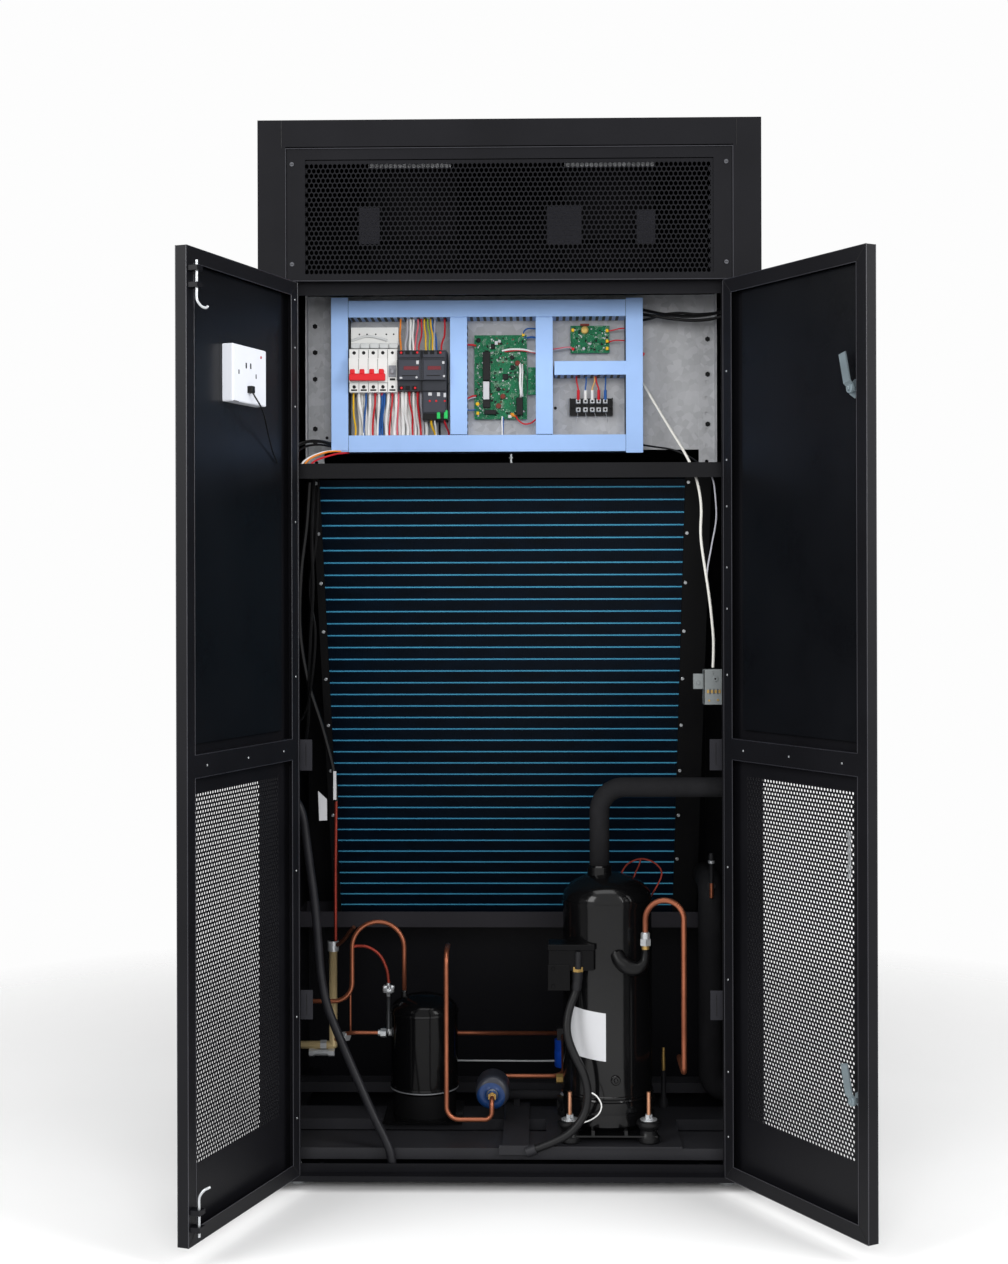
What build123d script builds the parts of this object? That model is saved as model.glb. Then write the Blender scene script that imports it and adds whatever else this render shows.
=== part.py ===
from build123d import *
from math import cos, radians, sin, tan
import os

# Computer room air conditioner, an upflow cabinet with two front doors that stand open.
# The origin is the centre of the four anchor holes in the underside of the base.
# +X runs to the right of someone facing the doors, +Y to the back and +Z up, in millimetres.

# Cabinet
cabinet_width = 900
cabinet_depth = 700
cabinet_height = 1900
panel_sheet = 1.5
post_sheet = 2
post_width = 50
post_depth = 50
rebate_width = 20
rebate_setback = 25
return_width = 40
cover_lip = 25
cover_lip_end = 80
header_bottom = 1590
header_top = 1620
header_flange = 30
top_rail_height = 48
top_rail_depth = 30
entry_radius = 30
entry_x = 250
entry_z = 1480
overrun = 5

# Base and feet
base_sheet = 3
sill_height = 25
toe_height = 10
ledge_width = 30
anchor_spacing_x = 700
anchor_spacing_y = 500
anchor_hole_radius = 7
foot_inset_x = 60
foot_inset_y = 70
foot_height = 20
foot_pad_radius = 20
foot_pad_height = 6
foot_stem_radius = 6
foot_stem_length = 34
foot_nut_width = 19
foot_nut_height = 8
foot_hole_clearance = 0.5
channel_height = 20.6
channel_sheet = 2.5
channel_rows = ((-298, -191), (-113, -24), (150, 200))
channel_end_gap = 2
centre_channel_x = 7
centre_channel_width = 48
centre_channel_height = 7
centre_block_width = 60
centre_block_sheet = 8
cable_bush_radius = 9.5
cable_bush_length = 18
centre_block_drop = 10

# Doors and hinges
door_side_gap = 5
door_meeting_gap = 7
door_bottom = 15
door_top = 1607
door_thickness = 20
door_sheet = 1.5
door_lip = 25
left_door_open = 109.2
right_door_open = 119.7
hinge_lead = 2.5
hinge_pin_radius = 1.9
hinge_knuckle_radius = 3.4
hinge_running_gap = 0.08
hinge_knuckle_gap = 0.4
hinge_length = 60
hinge_heights = (310, 760, 1290)
hinge_leaf_sheet = 1.2
hinge_leaf_depth = 16
hinge_room_reach = 5
mid_rail_bottom = 758
mid_rail_top = 795
mesh_hinge_margin = 17
mesh_edge_margin = 31
mesh_bottom = 130
mesh_top = 733
mesh_lap = 4
mesh_sheet = 1
liner_inset = 18
liner_overlap = 1
liner_bottom = 812
liner_top = 1582
liner_thickness = 8

# Controller box on the back of the left door
controller_start = 140
controller_width = 118
controller_bottom = 1372
controller_height = 96
controller_depth = 20
controller_radius = 3

# Flush bolts on the left door
bolt_edge_inset = 12
bolt_radius = 3.5
bolt_running_gap = 0.3
bolt_length = 66
bolt_clear = 6
bolt_clearance = 2
bolt_knob_reach = 14
bolt_knob_radius = 3
bolt_guide_width = 18
bolt_guide_height = 8
bolt_guide_inset = 9
bolt_guide_pitch = 27
bolt_guide_wall = 2.5

# Cam latches on the right door
latch_x = 357
latch_heights = (1380, 236)
latch_body_radius = 11
latch_nut_width = 27
latch_nut_height = 4
latch_shaft_radius = 4
latch_shaft_gap = 0.08
latch_head_radius = 14
latch_head_height = 3
latch_lean = 14
cam_length = 60
cam_width = 16
cam_sheet = 3
cam_bend_start = 5
cam_bend_end = 11
cam_joggle = 5
cam_lift = 0.5

# Supply grille
grille_gap = 2
grille_recess = 1
grille_border_side = 33
grille_border_top = 21
grille_border_bottom = 12

# Fan deck and blowers
deck_sheet = 2
deck_back_setback = 400
blower_width = 160
blower_places = (-178, 181)
blower_base_radius = 72
blower_step = 27
blower_setback = 60
blower_throat = 40
blower_wall = 3
blower_inlet_radius = 58
blower_inlet_depth = 12

# Electrical bay
tray_top = 1287
tray_lip_height = 27
tray_sheet = 1.5
tray_overhang = 12
lead_hole_x = 332
lead_hole_setback = 71
lead_hole_radius = 10
plate_left = -388
plate_right = 387
plate_bottom = 1325
plate_setback = 230
plate_sheet = 2
angle_width = 30
angle_sheet = 2
angle_hole_radius = 3.5
angle_hole_count = 11
duct_width = 30
duct_depth = 58
duct_wall = 1.6
duct_gap = 0.3
duct_left = -337
duct_right = 247
duct_middle_xs = (-113, 48)
duct_bottom = 1319
duct_top = 1602
shelf_duct_bottom = 1462
shelf_duct_left = 83
shelf_duct_height = 25
breaker_left = -303
breaker_width = 72
breaker_bottom = 1430
breaker_height = 81
breaker_depth = 58
breaker_nose_height = 45
breaker_nose_depth = 8
toggle_height = 12
toggle_depth = 8
aux_width = 18
rail_height = 35
rail_depth = 7.5
contactor_width = 46
contactor_height = 76
contactor_depth = 62
contactor_bottom = 1432
contactor_nose_height = 38
contactor_nose_depth = 8
overload_height = 42
overload_depth = 56
neutral_bottom = 1522
neutral_height = 34
neutral_depth = 34
main_board_left = -70
main_board_bottom = 1383
main_board_width = 100
main_board_height = 160
relay_board_left = 113
relay_board_bottom = 1508
relay_board_width = 74
relay_board_height = 52
knob_radius = 7
knob_height = 14
board_thickness = 1.6
board_standoff = 12
standoff_radius = 3
standoff_inset = 6
strip_left = 111
strip_bottom = 1389
strip_width = 82
strip_height = 33
strip_depth = 22
strip_poles = 5
strip_barrier = 2

# Evaporator coil
coil_left = -360
coil_right = 326
coil_tilt = 22.6
coil_pitch = 25.4
coil_tubes = 38
coil_thickness = 44
coil_top_y = -176
coil_top_z = 1254
end_plate_sheet = 2
end_flange_left = 15
end_flange_right = 49
end_plate_gap = 0.5
pan_front_setback = 520
pan_back_setback = 650
pan_bottom = 361
pan_height = 32
pan_sheet = 1.5

# Compressor
compressor_x = 178
compressor_y = -185
shell_radius = 82.5
shell_foot = 12
shell_top = 529
shell_seam = 473
shell_seam_height = 8
shell_seam_reach = 2.5
mount_plate_left = 63
mount_plate_right = 309
mount_plate_front_setback = 49
mount_plate_length = 230
mount_plate_sheet = 4
mount_spacing_x = 144
mount_spacing_y = 170
mount_cup_radius = 18
mount_cup_height = 12
mount_stud_radius = 4
mount_stud_height = 91
mount_sleeve_radius = 6
mount_sleeve_height = 18
mount_nut_width = 15
mount_nut_height = 7
mount_bar_width = 30
mount_bar_sheet = 3
terminal_box_angle = 56.76
terminal_box_width = 82
terminal_box_height = 46
terminal_box_lead = 40
terminal_box_depth = 60
terminal_box_bottom = 362
terminal_wing_width = 37
terminal_wing_drop = 35
gland_radius = 9
gland_length = 14
gland_inset = 12
gland_x = 120

# Refrigerant pipework
suction_radius = 18.5
suction_x = 164
suction_bend = 46
suction_rise = 688
suction_turn = 60
suction_end_inset = 24.5
wall_pipe_inset = 61.5
wall_pipe_radius = 24
wall_pipe_setback = 345
wall_pipe_reach = 125
wall_pipe_high = 480
wall_pipe_low = 76
wall_pipe_bend = 32
wall_clamp_heights = (220, 400)
wall_clamp_half = 9
discharge_radius = 4.75
discharge_elbow_z = 375
discharge_elbow_radius = 9
discharge_angle = 37
discharge_stub = 28
discharge_span = 70
discharge_tail = 120
discharge_tail_bend = 30
discharge_nut_width = 20
discharge_nut_height = 20
discharge_nut_z = 410
discharge_top = 491
discharge_low = 178
receiver_x = -172
receiver_y = -75
receiver_radius = 64
receiver_bottom = 74
receiver_low_seam = 104
receiver_high_seam = 245
receiver_top = 278
receiver_seam_half = 2
receiver_seam_reach = 2
receiver_skirt_radius = 40
receiver_foot_width = 150
receiver_foot_sheet = 4
dome_steps = 6
bend_play = 0.5
riser_radius = 4
riser_left_x = -312
riser_right_x = -211
riser_top = 416
riser_low = 262
riser_bend = 36
valve_offset_x = 70
valve_low = 201
valve_high = 280
valve_radius = 4
valve_inlet_radius = 6
valve_wheel_radius = 11
valve_wheel_height = 8
brass_x = -355
brass_y = -20
brass_bottom = 164
brass_top = 351
brass_radius = 8
brass_nut_width = 19
brass_nut_height = 18
drier_x = -38
drier_z = 112
drier_radius = 32
drier_front_setback = 170
drier_length = 70
drier_neck_radius = 9
drier_neck_length = 18
drier_shoulder = 12
drier_saddle_setback = 50
drier_saddle_half = 12
drier_saddle_sheet = 3
liquid_x = -122
liquid_top = 386
liquid_low = 76
liquid_lead = 26
liquid_tail = 70
liquid_bend = 24
drier_outlet_run = 40
cross_z = 159
cross_setback = 450
cross_bend = 24
solenoid_x = 86
solenoid_body = 12
solenoid_coil_radius = 17
solenoid_coil_length = 24

# Door switch
switch_left = 332
switch_right = 384
switch_bottom = 849
switch_height = 67
switch_depth = 24
switch_setback = 58

# Cords
hose_radius = 8
hose_fitting_radius = 11
hose_spigot_radius = 9.5
cable_radius = 7.5
lead_radius = 2.5

front = -cabinet_depth / 2
back = cabinet_depth / 2
half_width = cabinet_width / 2
inner_side = half_width - panel_sheet
suction_end_x = inner_side - suction_end_inset
wall_pipe_x = inner_side - wall_pipe_inset
shell_top_z = cabinet_height - panel_sheet
back_inside = back - panel_sheet
post_inner = half_width - post_width
post_back = front + post_depth
rebate_front = front + rebate_setback
rebate_back = rebate_front + post_sheet
opening_half = post_inner - rebate_width
channel_top = sill_height + channel_height
centre_top = channel_top + centre_channel_height
deck_top = header_top + deck_sheet
hinge_x = post_inner - door_side_gap / 2
hinge_y = front - hinge_lead
door_start = door_side_gap / 2
door_end = post_inner - door_side_gap / 2 - door_meeting_gap / 2
door_face = hinge_lead
door_back = hinge_lead + door_thickness
tray_under = tray_top - tray_sheet
mesh_start = door_start + door_lip + mesh_hinge_margin
mesh_end = door_end - door_lip - mesh_edge_margin
plate_face = front + plate_setback
plate_back = plate_face + plate_sheet
duct_face = plate_face - duct_depth


def block(xs, ys, zs):
    ranges = (xs, ys, zs)
    size = [high - low for low, high in ranges]
    middle = [(low + high) / 2 for low, high in ranges]
    return Pos(*middle) * Box(*size)


def rod(start, end, radius):
    axis = Vector(*end) - Vector(*start)
    return extrude(Plane(origin=start, z_dir=axis) * Circle(radius), axis.length)


def tube(route, radius, bends):
    path = FilletPolyline(*route, radius=bends)
    return sweep(Plane(origin=path @ 0, z_dir=path % 0) * Circle(radius), path=path)


def outline(plane, points, length):
    return extrude(plane * make_face(Polyline(*points, close=True)), length)


def spun(profile, x, y):
    face = Plane.XZ * make_face(Polyline(*profile, close=True))
    return Pos(x, y, 0) * revolve(face, Axis.Z)


def hexagon(place, width, height):
    return place * extrude(RegularPolygon(width / 2, 6, major_radius=False), height)


def left_door_place(shape):
    return Pos(-hinge_x, hinge_y, 0) * Rot(0, 0, -left_door_open) * shape


def right_door_place(shape):
    return Pos(hinge_x, hinge_y, 0) * Rot(0, 0, right_door_open) * shape.mirror(Plane.YZ)


def base_frame():
    outside = block((-half_width, half_width), (front, back), (0, sill_height))
    hollow = block((-inner_side, inner_side), (rebate_back, back_inside), (base_sheet, sill_height + overrun))
    recess = block((-post_inner, post_inner), (front - overrun, rebate_front), (-overrun, sill_height + overrun))
    frame = outside - hollow - recess
    frame += block((-post_inner, post_inner), (front, rebate_front), (0, toe_height))
    for side in (-1, 1):
        ledge = sorted((side * inner_side, side * (inner_side - ledge_width)))
        frame += block(ledge, (post_back, back_inside), (sill_height - base_sheet, sill_height))
    for side in (-1, 1):
        corner = sorted((side * (half_width + overrun), side * post_inner))
        frame -= block(corner, (front - overrun, post_back), (base_sheet, sill_height + overrun))
        for y in (-anchor_spacing_y / 2, anchor_spacing_y / 2):
            x = side * anchor_spacing_x / 2
            frame -= rod((x, y, -overrun), (x, y, base_sheet + overrun), anchor_hole_radius)
        for x, y in foot_places(side):
            frame -= rod((x, y, -overrun), (x, y, base_sheet + overrun), foot_stem_radius + foot_hole_clearance)
    x, y, z = drain_hose_route[-1]
    return frame + rod((x, y, 0), (x, y, z), hose_spigot_radius)


def foot_places(side):
    x = side * (half_width - foot_inset_x)
    return [(x, front + foot_inset_y), (x, back - foot_inset_y)]


def levelling_feet():
    feet = []
    for x, y in foot_places(-1) + foot_places(1):
        pad = rod((x, y, -foot_height), (x, y, foot_pad_height - foot_height), foot_pad_radius)
        stem = rod((x, y, -foot_height), (x, y, foot_stem_length - foot_height), foot_stem_radius)
        nut = hexagon(Pos(x, y, -foot_nut_height), foot_nut_width, foot_nut_height)
        feet.append(pad + stem + nut)
    return feet


def cross_channel(ys):
    half = inner_side - channel_end_gap
    outer = block((-half, half), ys, (sill_height, channel_top))
    inner = block((-half - overrun, half + overrun), (ys[0] + channel_sheet, ys[1] - channel_sheet),
                  (sill_height - overrun, channel_top - channel_sheet))
    return outer - inner


def centre_channel():
    half = centre_channel_width / 2
    xs = (centre_channel_x - half, centre_channel_x + half)
    near = channel_rows[0][0]
    top = block(xs, (near, channel_rows[1][1]), (channel_top, centre_top))
    half = centre_block_width / 2
    stop = block((centre_channel_x - half, centre_channel_x + half), (near - centre_block_sheet, near),
                 (channel_top - centre_block_drop, centre_top))
    before, end = [Vector(*point) for point in compressor_cable_route[-2:]]
    inward = (end - before).normalized()
    bush = rod(end, end + inward * cable_bush_length, cable_bush_radius)
    return top + stop + bush


def base_channels():
    front_bar, middle_bar, rear_bar = [cross_channel(ys) for ys in channel_rows]
    return [front_bar + middle_bar + centre_channel(), rear_bar]


def front_post():
    outer = block((-half_width, -post_inner), (front, post_back), (base_sheet, shell_top_z))
    inner = block(
        (-half_width + post_sheet, -post_inner - post_sheet),
        (front + post_sheet, post_back - post_sheet),
        (base_sheet - overrun, shell_top_z + overrun),
    )
    stop = block((-post_inner, -opening_half), (rebate_front, rebate_back), (sill_height, header_bottom))
    post = outer - inner + stop
    for z in hinge_heights:
        post += fixed_hinge_half(z)
    return post


def knuckle(low, high):
    return rod((-hinge_x, hinge_y, low), (-hinge_x, hinge_y, high), hinge_knuckle_radius)


def hinge_thirds(z):
    low = z - hinge_length / 2
    return low, low + hinge_length / 3, low + 2 * hinge_length / 3, low + hinge_length


def fixed_hinge_half(z):
    ends = hinge_thirds(z)
    leaf_side = -post_inner + hinge_leaf_sheet
    leaf = block((-post_inner, leaf_side), (hinge_y, front + hinge_leaf_depth), (ends[0], ends[3]))
    gap = hinge_knuckle_gap
    middle = rod((-hinge_x, hinge_y, ends[1] - gap), (-hinge_x, hinge_y, ends[2] + gap),
                 hinge_knuckle_radius + gap)
    pin = rod((-hinge_x, hinge_y, ends[0]), (-hinge_x, hinge_y, ends[3]), hinge_pin_radius)
    return leaf + knuckle(ends[0], ends[1]) + knuckle(ends[2], ends[3]) - middle + pin


def side_panel():
    outer = block((-half_width, -half_width + return_width), (post_back, back_inside), (sill_height, shell_top_z))
    inner = block(
        (-inner_side, half_width),
        (post_back + panel_sheet, back_inside - panel_sheet),
        (sill_height - overrun, shell_top_z + overrun),
    )
    return outer - inner


def hose_fitting():
    x, y, z = drain_hose_route[0]
    return rod((-inner_side, y, z), (x, y, z), hose_fitting_radius)


def back_panel():
    sheet = block((-half_width, half_width), (back_inside, back), (sill_height, shell_top_z))
    for x in (-entry_x, entry_x):
        sheet -= rod((x, back_inside - overrun, entry_z), (x, back + overrun, entry_z), entry_radius)
    return sheet


def top_cover():
    cover = block((-half_width, half_width), (front, back), (shell_top_z, cabinet_height))
    for side in (-1, 1):
        xs = sorted((side * inner_side, side * (inner_side - panel_sheet)))
        cover += block(xs, (front + cover_lip_end, back - cover_lip_end), (shell_top_z - cover_lip, shell_top_z))
    return cover


def top_rail():
    low = cabinet_height - top_rail_height
    outer = block((-post_inner, post_inner), (front, front + top_rail_depth), (low, shell_top_z))
    inner = block(
        (-post_inner - overrun, post_inner + overrun),
        (front + panel_sheet, front + top_rail_depth + overrun),
        (low + panel_sheet, shell_top_z - panel_sheet),
    )
    return outer - inner


def door_header():
    web = block((-post_inner, post_inner), (rebate_front, rebate_back), (header_bottom, header_top))
    flange = block(
        (-post_inner, post_inner),
        (rebate_front, rebate_front + header_flange),
        (header_top - post_sheet, header_top),
    )
    return web + flange


grille_half = post_inner - grille_gap
grille_bottom = door_top + door_side_gap
grille_top = cabinet_height - top_rail_height - grille_gap
grille_face = front + grille_recess
field_half = grille_half - grille_border_side
field_bottom = grille_bottom + grille_border_bottom
field_top = grille_top - grille_border_top


def grille_panel():
    outer = block((-grille_half, grille_half), (grille_face, rebate_front), (grille_bottom, grille_top))
    inner = block(
        (-grille_half + panel_sheet, grille_half - panel_sheet),
        (grille_face + panel_sheet, rebate_front + overrun),
        (grille_bottom + panel_sheet, grille_top - panel_sheet),
    )
    window = block((-field_half, field_half), (grille_face - overrun, rebate_front), (field_bottom, field_top))
    return outer - inner - window


def grille_mesh():
    face = grille_face + panel_sheet
    return block(
        (-field_half - mesh_lap, field_half + mesh_lap),
        (face, face + mesh_sheet),
        (field_bottom - mesh_lap, field_top + mesh_lap),
    )


def fan_deck():
    ys = (post_back + panel_sheet, front + deck_back_setback)
    return block((-inner_side, inner_side), ys, (header_top, deck_top))


def blower(x):
    radius = blower_base_radius
    middle_y = front + blower_setback + blower_throat + radius
    centre = Vector(middle_y, deck_top + radius)
    cutoff = centre + Vector(-radius, 0)
    turns = []
    for quarter in range(3):
        turns.append(CenterArc((centre.X, centre.Y), radius, 180 + 90 * quarter, 90))
        end = turns[-1] @ 1
        centre = centre - (end - centre).normalized() * blower_step
        radius += blower_step
    top = turns[-1] @ 1
    mouth = front + blower_setback
    edges = turns + [Polyline((top.X, top.Y), (mouth, top.Y), (mouth, cutoff.Y), (cutoff.X, cutoff.Y))]
    side = x - blower_width / 2
    plane = Plane(origin=(side, 0, 0), x_dir=(0, 1, 0), z_dir=(1, 0, 0))
    scroll = extrude(plane * make_face(edges), blower_width)
    throat = block(
        (side + blower_wall, side + blower_width - blower_wall),
        (mouth - overrun, mouth + blower_throat),
        (cutoff.Y + blower_wall, top.Y - blower_wall),
    )
    inlet_z = deck_top + blower_base_radius
    inlets = [rod((end, middle_y, inlet_z), (end + way * blower_inlet_depth, middle_y, inlet_z), blower_inlet_radius)
              for end, way in ((side, 1), (side + blower_width, -1))]
    return scroll - throat - inlets


def electrical_tray():
    lip = block((-post_inner, post_inner), (rebate_back, rebate_back + tray_sheet),
                (tray_top - tray_lip_height, tray_top))
    floor = block((-post_inner, post_inner), (rebate_back, plate_back + tray_overhang), (tray_under, tray_top))
    hole_y = front + lead_hole_setback
    hole = rod((lead_hole_x, hole_y, tray_under - overrun), (lead_hole_x, hole_y, tray_top + overrun), lead_hole_radius)
    return lip + floor - hole


def mounting_plate():
    plate = block((plate_left, plate_right), (plate_face, plate_back), (plate_bottom, header_top))
    return plate + din_rail()


def slotted_angles():
    angles = []
    for x, way in ((plate_left, 1), (plate_right, -1)):
        outer = block(sorted((x - way * angle_sheet, x + way * angle_width)),
                      (plate_face - angle_width, plate_face), (tray_top, header_top))
        inner = block(sorted((x, x + way * (angle_width + overrun))),
                      (plate_face - angle_width - overrun, plate_face - angle_sheet),
                      (tray_top - overrun, header_top + overrun))
        angle = outer - inner
        pitch = (header_top - tray_top) / angle_hole_count
        hole_x = x + way * angle_width / 2
        for row in range(angle_hole_count):
            z = tray_top + pitch * (row + 1 / 2)
            angle -= rod((hole_x, plate_face - angle_sheet - overrun, z),
                         (hole_x, plate_face + overrun, z), angle_hole_radius)
        angles.append(angle)
    return angles


def trunking(xs, zs):
    outer = block(xs, (duct_face, plate_face), zs)
    inner = block((xs[0] + duct_wall, xs[1] - duct_wall), (duct_face + duct_wall, plate_face - duct_wall),
                  (zs[0] + duct_wall, zs[1] - duct_wall))
    return outer - inner


def wiring_ducts():
    left_in = duct_left + duct_width
    right_in = duct_right - duct_width
    gap = duct_gap
    ducts = [
        trunking((duct_left, left_in), (duct_bottom, duct_top)),
        trunking((right_in, duct_right), (duct_bottom, duct_top)),
        trunking((left_in + gap, right_in - gap), (duct_bottom, duct_bottom + duct_width)),
        trunking((left_in + gap, right_in - gap), (duct_top - duct_width, duct_top)),
    ]
    inner_zs = (duct_bottom + duct_width + gap, duct_top - duct_width - gap)
    for x in duct_middle_xs:
        ducts.append(trunking((x, x + duct_width), inner_zs))
    ducts.append(trunking((shelf_duct_left, right_in - gap), (shelf_duct_bottom, shelf_duct_bottom + shelf_duct_height)))
    return ducts


def din_rail():
    face = plate_face - rail_depth
    middle = breaker_bottom + breaker_height / 2
    return block(
        (duct_left + duct_width + duct_gap, duct_middle_xs[0] - duct_gap),
        (face, plate_face),
        (middle - rail_height / 2, middle + rail_height / 2),
    )


def circuit_breaker():
    body_back = plate_face - rail_depth
    face = body_back - breaker_depth
    xs = (breaker_left, breaker_left + breaker_width)
    body = block(xs, (face, body_back), (breaker_bottom, breaker_bottom + breaker_height))
    middle = breaker_bottom + breaker_height / 2
    nose = block(xs, (face - breaker_nose_depth, face),
                 (middle - breaker_nose_height / 2, middle + breaker_nose_height / 2))
    toggle = block((xs[0] + toggle_depth, xs[1] - toggle_depth), (face - breaker_nose_depth - toggle_depth, face),
                   (middle - toggle_height, middle))
    aux = block((xs[1], xs[1] + aux_width), (face, body_back), (breaker_bottom, breaker_bottom + breaker_height))
    return body + nose + toggle + aux


def contactors():
    body_back = plate_face - rail_depth
    face = body_back - contactor_depth
    left = breaker_left + breaker_width + aux_width
    middle = contactor_bottom + contactor_height / 2
    units = []
    for place in range(2):
        low = left + place * (contactor_width + duct_gap) + duct_gap
        xs = (low, low + contactor_width)
        unit = block(xs, (face, body_back), (contactor_bottom, contactor_bottom + contactor_height))
        unit += block(xs, (face - contactor_nose_depth, face),
                      (middle - contactor_nose_height / 2, middle + contactor_nose_height / 2))
        units.append(unit)
    units[1] += block(xs, (body_back - overload_depth, body_back),
                      (contactor_bottom - overload_height, contactor_bottom))
    return units


def neutral_terminals():
    return block(
        (breaker_left, breaker_left + breaker_width + aux_width),
        (plate_face - neutral_depth, plate_face),
        (neutral_bottom, neutral_bottom + neutral_height),
    )


def circuit_board(left, bottom, width, height):
    face = plate_face - board_standoff
    board = block((left, left + width), (face - board_thickness, face), (bottom, bottom + height))
    for x in (left + standoff_inset, left + width - standoff_inset):
        for z in (bottom + standoff_inset, bottom + height - standoff_inset):
            board += rod((x, face, z), (x, plate_face, z), standoff_radius)
    return board


def main_circuit_board():
    return circuit_board(main_board_left, main_board_bottom, main_board_width, main_board_height)


def relay_board():
    board = circuit_board(relay_board_left, relay_board_bottom, relay_board_width, relay_board_height)
    face = plate_face - board_standoff - board_thickness
    x = relay_board_left + relay_board_width / 2
    z = relay_board_bottom + relay_board_height / 2
    return board + rod((x, face - knob_height, z), (x, face, z), knob_radius)


def terminal_strip():
    face = plate_face - strip_depth
    body = block((strip_left, strip_left + strip_width), (face, plate_face), (strip_bottom, strip_bottom + strip_height))
    pitch = (strip_width - strip_barrier) / strip_poles
    for pole in range(strip_poles):
        low = strip_left + strip_barrier + pole * pitch
        body -= block((low, low + pitch - strip_barrier), (face - overrun, face + strip_depth / 2),
                      (strip_bottom - overrun, strip_bottom + strip_height + overrun))
    return body


# The coil leans forward at the top. Its own plane has u across, v up the slope and w out to the front.
coil_length = coil_tubes * coil_pitch
coil_up = (0, -sin(radians(coil_tilt)), cos(radians(coil_tilt)))
coil_out = (0, -cos(radians(coil_tilt)), -sin(radians(coil_tilt)))
coil_plane = Plane(origin=(0, coil_top_y, coil_top_z), x_dir=(1, 0, 0), z_dir=coil_out)


def on_coil(u, v, w):
    start = Vector(0, coil_top_y, coil_top_z)
    return start + Vector(u, 0, 0) + Vector(*coil_up) * v + Vector(*coil_out) * w


def evaporator_coil():
    width = coil_right - coil_left
    middle_v = coil_pitch / 2 - coil_length / 2
    body = Box(width, coil_length, coil_thickness)
    centre = Pos((coil_left + coil_right) / 2, middle_v, -coil_thickness / 2)
    return coil_plane * centre * body


def coil_end_plates():
    pan_floor = pan_bottom + pan_sheet
    slope = tan(radians(coil_tilt))
    top_front = coil_top_y - (tray_under - coil_top_z) * slope
    low_front = coil_top_y + (coil_top_z - pan_floor) * slope
    reach = coil_thickness / cos(radians(coil_tilt))
    corners = [(top_front, tray_under), (top_front + reach, tray_under),
               (low_front + reach, pan_floor), (low_front, pan_floor)]
    plates = []
    for x, way, flange in ((coil_left, -1, end_flange_left), (coil_right, 1, end_flange_right)):
        near = x + way * end_plate_gap
        low_x = min(near, near + way * end_plate_sheet)
        plane = Plane(origin=(low_x, 0, 0), x_dir=(0, 1, 0), z_dir=(1, 0, 0))
        plate = outline(plane, corners, end_plate_sheet)
        sheet_reach = end_plate_sheet / cos(radians(coil_tilt))
        strip = [corners[0], (top_front + sheet_reach, tray_under), (low_front + sheet_reach, pan_floor), corners[3]]
        low_flange = min(near, near + way * flange)
        flange_plane = Plane(origin=(low_flange, 0, 0), x_dir=(0, 1, 0), z_dir=(1, 0, 0))
        plates.append(plate + outline(flange_plane, strip, flange))
    return plates


def drain_pan():
    ys = (front + pan_front_setback, front + pan_back_setback)
    outer = block((-inner_side, inner_side), ys, (pan_bottom, pan_bottom + pan_height))
    inner = block((-inner_side + pan_sheet, inner_side - pan_sheet), (ys[0] + pan_sheet, ys[1] - pan_sheet),
                  (pan_bottom + pan_sheet, pan_bottom + pan_height + overrun))
    return outer - inner


def compressor():
    bar_z = mount_top - mount_bar_sheet
    seam_top = shell_seam + shell_seam_height
    profile = [(0, bar_z), (shell_radius - shell_foot, bar_z), (shell_radius, bar_z + shell_foot),
               (shell_radius, shell_seam), (shell_radius + shell_seam_reach, shell_seam),
               (shell_radius + shell_seam_reach, seam_top)]
    shell = spun(profile + dome(shell_radius, seam_top, shell_top), compressor_x, compressor_y)
    half_x = mount_spacing_x / 2 + mount_bar_width / 2
    half_y = mount_spacing_y / 2 + mount_bar_width / 2
    for side in (-1, 1):
        y = compressor_y + side * mount_spacing_y / 2
        shell += block((compressor_x - half_x, compressor_x + half_x),
                       (y - mount_bar_width / 2, y + mount_bar_width / 2), (bar_z, mount_top))
        x = compressor_x + side * mount_bar_width
        shell += block((x - mount_bar_sheet, x + mount_bar_sheet),
                       (compressor_y - half_y, compressor_y + half_y), (bar_z, bar_z + shell_foot))
    for x, y in mount_places():
        shell -= rod((x, y, bar_z - overrun), (x, y, mount_top + overrun), mount_stud_radius + duct_gap)
    return shell


mount_plate_top = channel_top + mount_plate_sheet
mount_top = mount_plate_top + mount_cup_height + mount_bar_sheet


def mount_places():
    return [(compressor_x + sx * mount_spacing_x / 2, compressor_y + sy * mount_spacing_y / 2)
            for sx in (-1, 1) for sy in (-1, 1)]


def compressor_base_plate():
    low = channel_top
    ys = (front + mount_plate_front_setback, front + mount_plate_front_setback + mount_plate_length)
    return block((mount_plate_left, mount_plate_right), ys, (low, low + mount_plate_sheet))


def compressor_mounts():
    mounts = []
    for x, y in mount_places():
        cup = rod((x, y, mount_plate_top), (x, y, mount_plate_top + mount_cup_height), mount_cup_radius)
        stud = rod((x, y, mount_plate_top), (x, y, mount_plate_top + mount_stud_height), mount_stud_radius)
        sleeve_top = mount_top + mount_sleeve_height
        sleeve = rod((x, y, mount_top), (x, y, sleeve_top), mount_sleeve_radius)
        nut = hexagon(Pos(x, y, sleeve_top), mount_nut_width, mount_nut_height)
        mounts.append(cup + stud + sleeve + nut)
    return mounts


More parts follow.
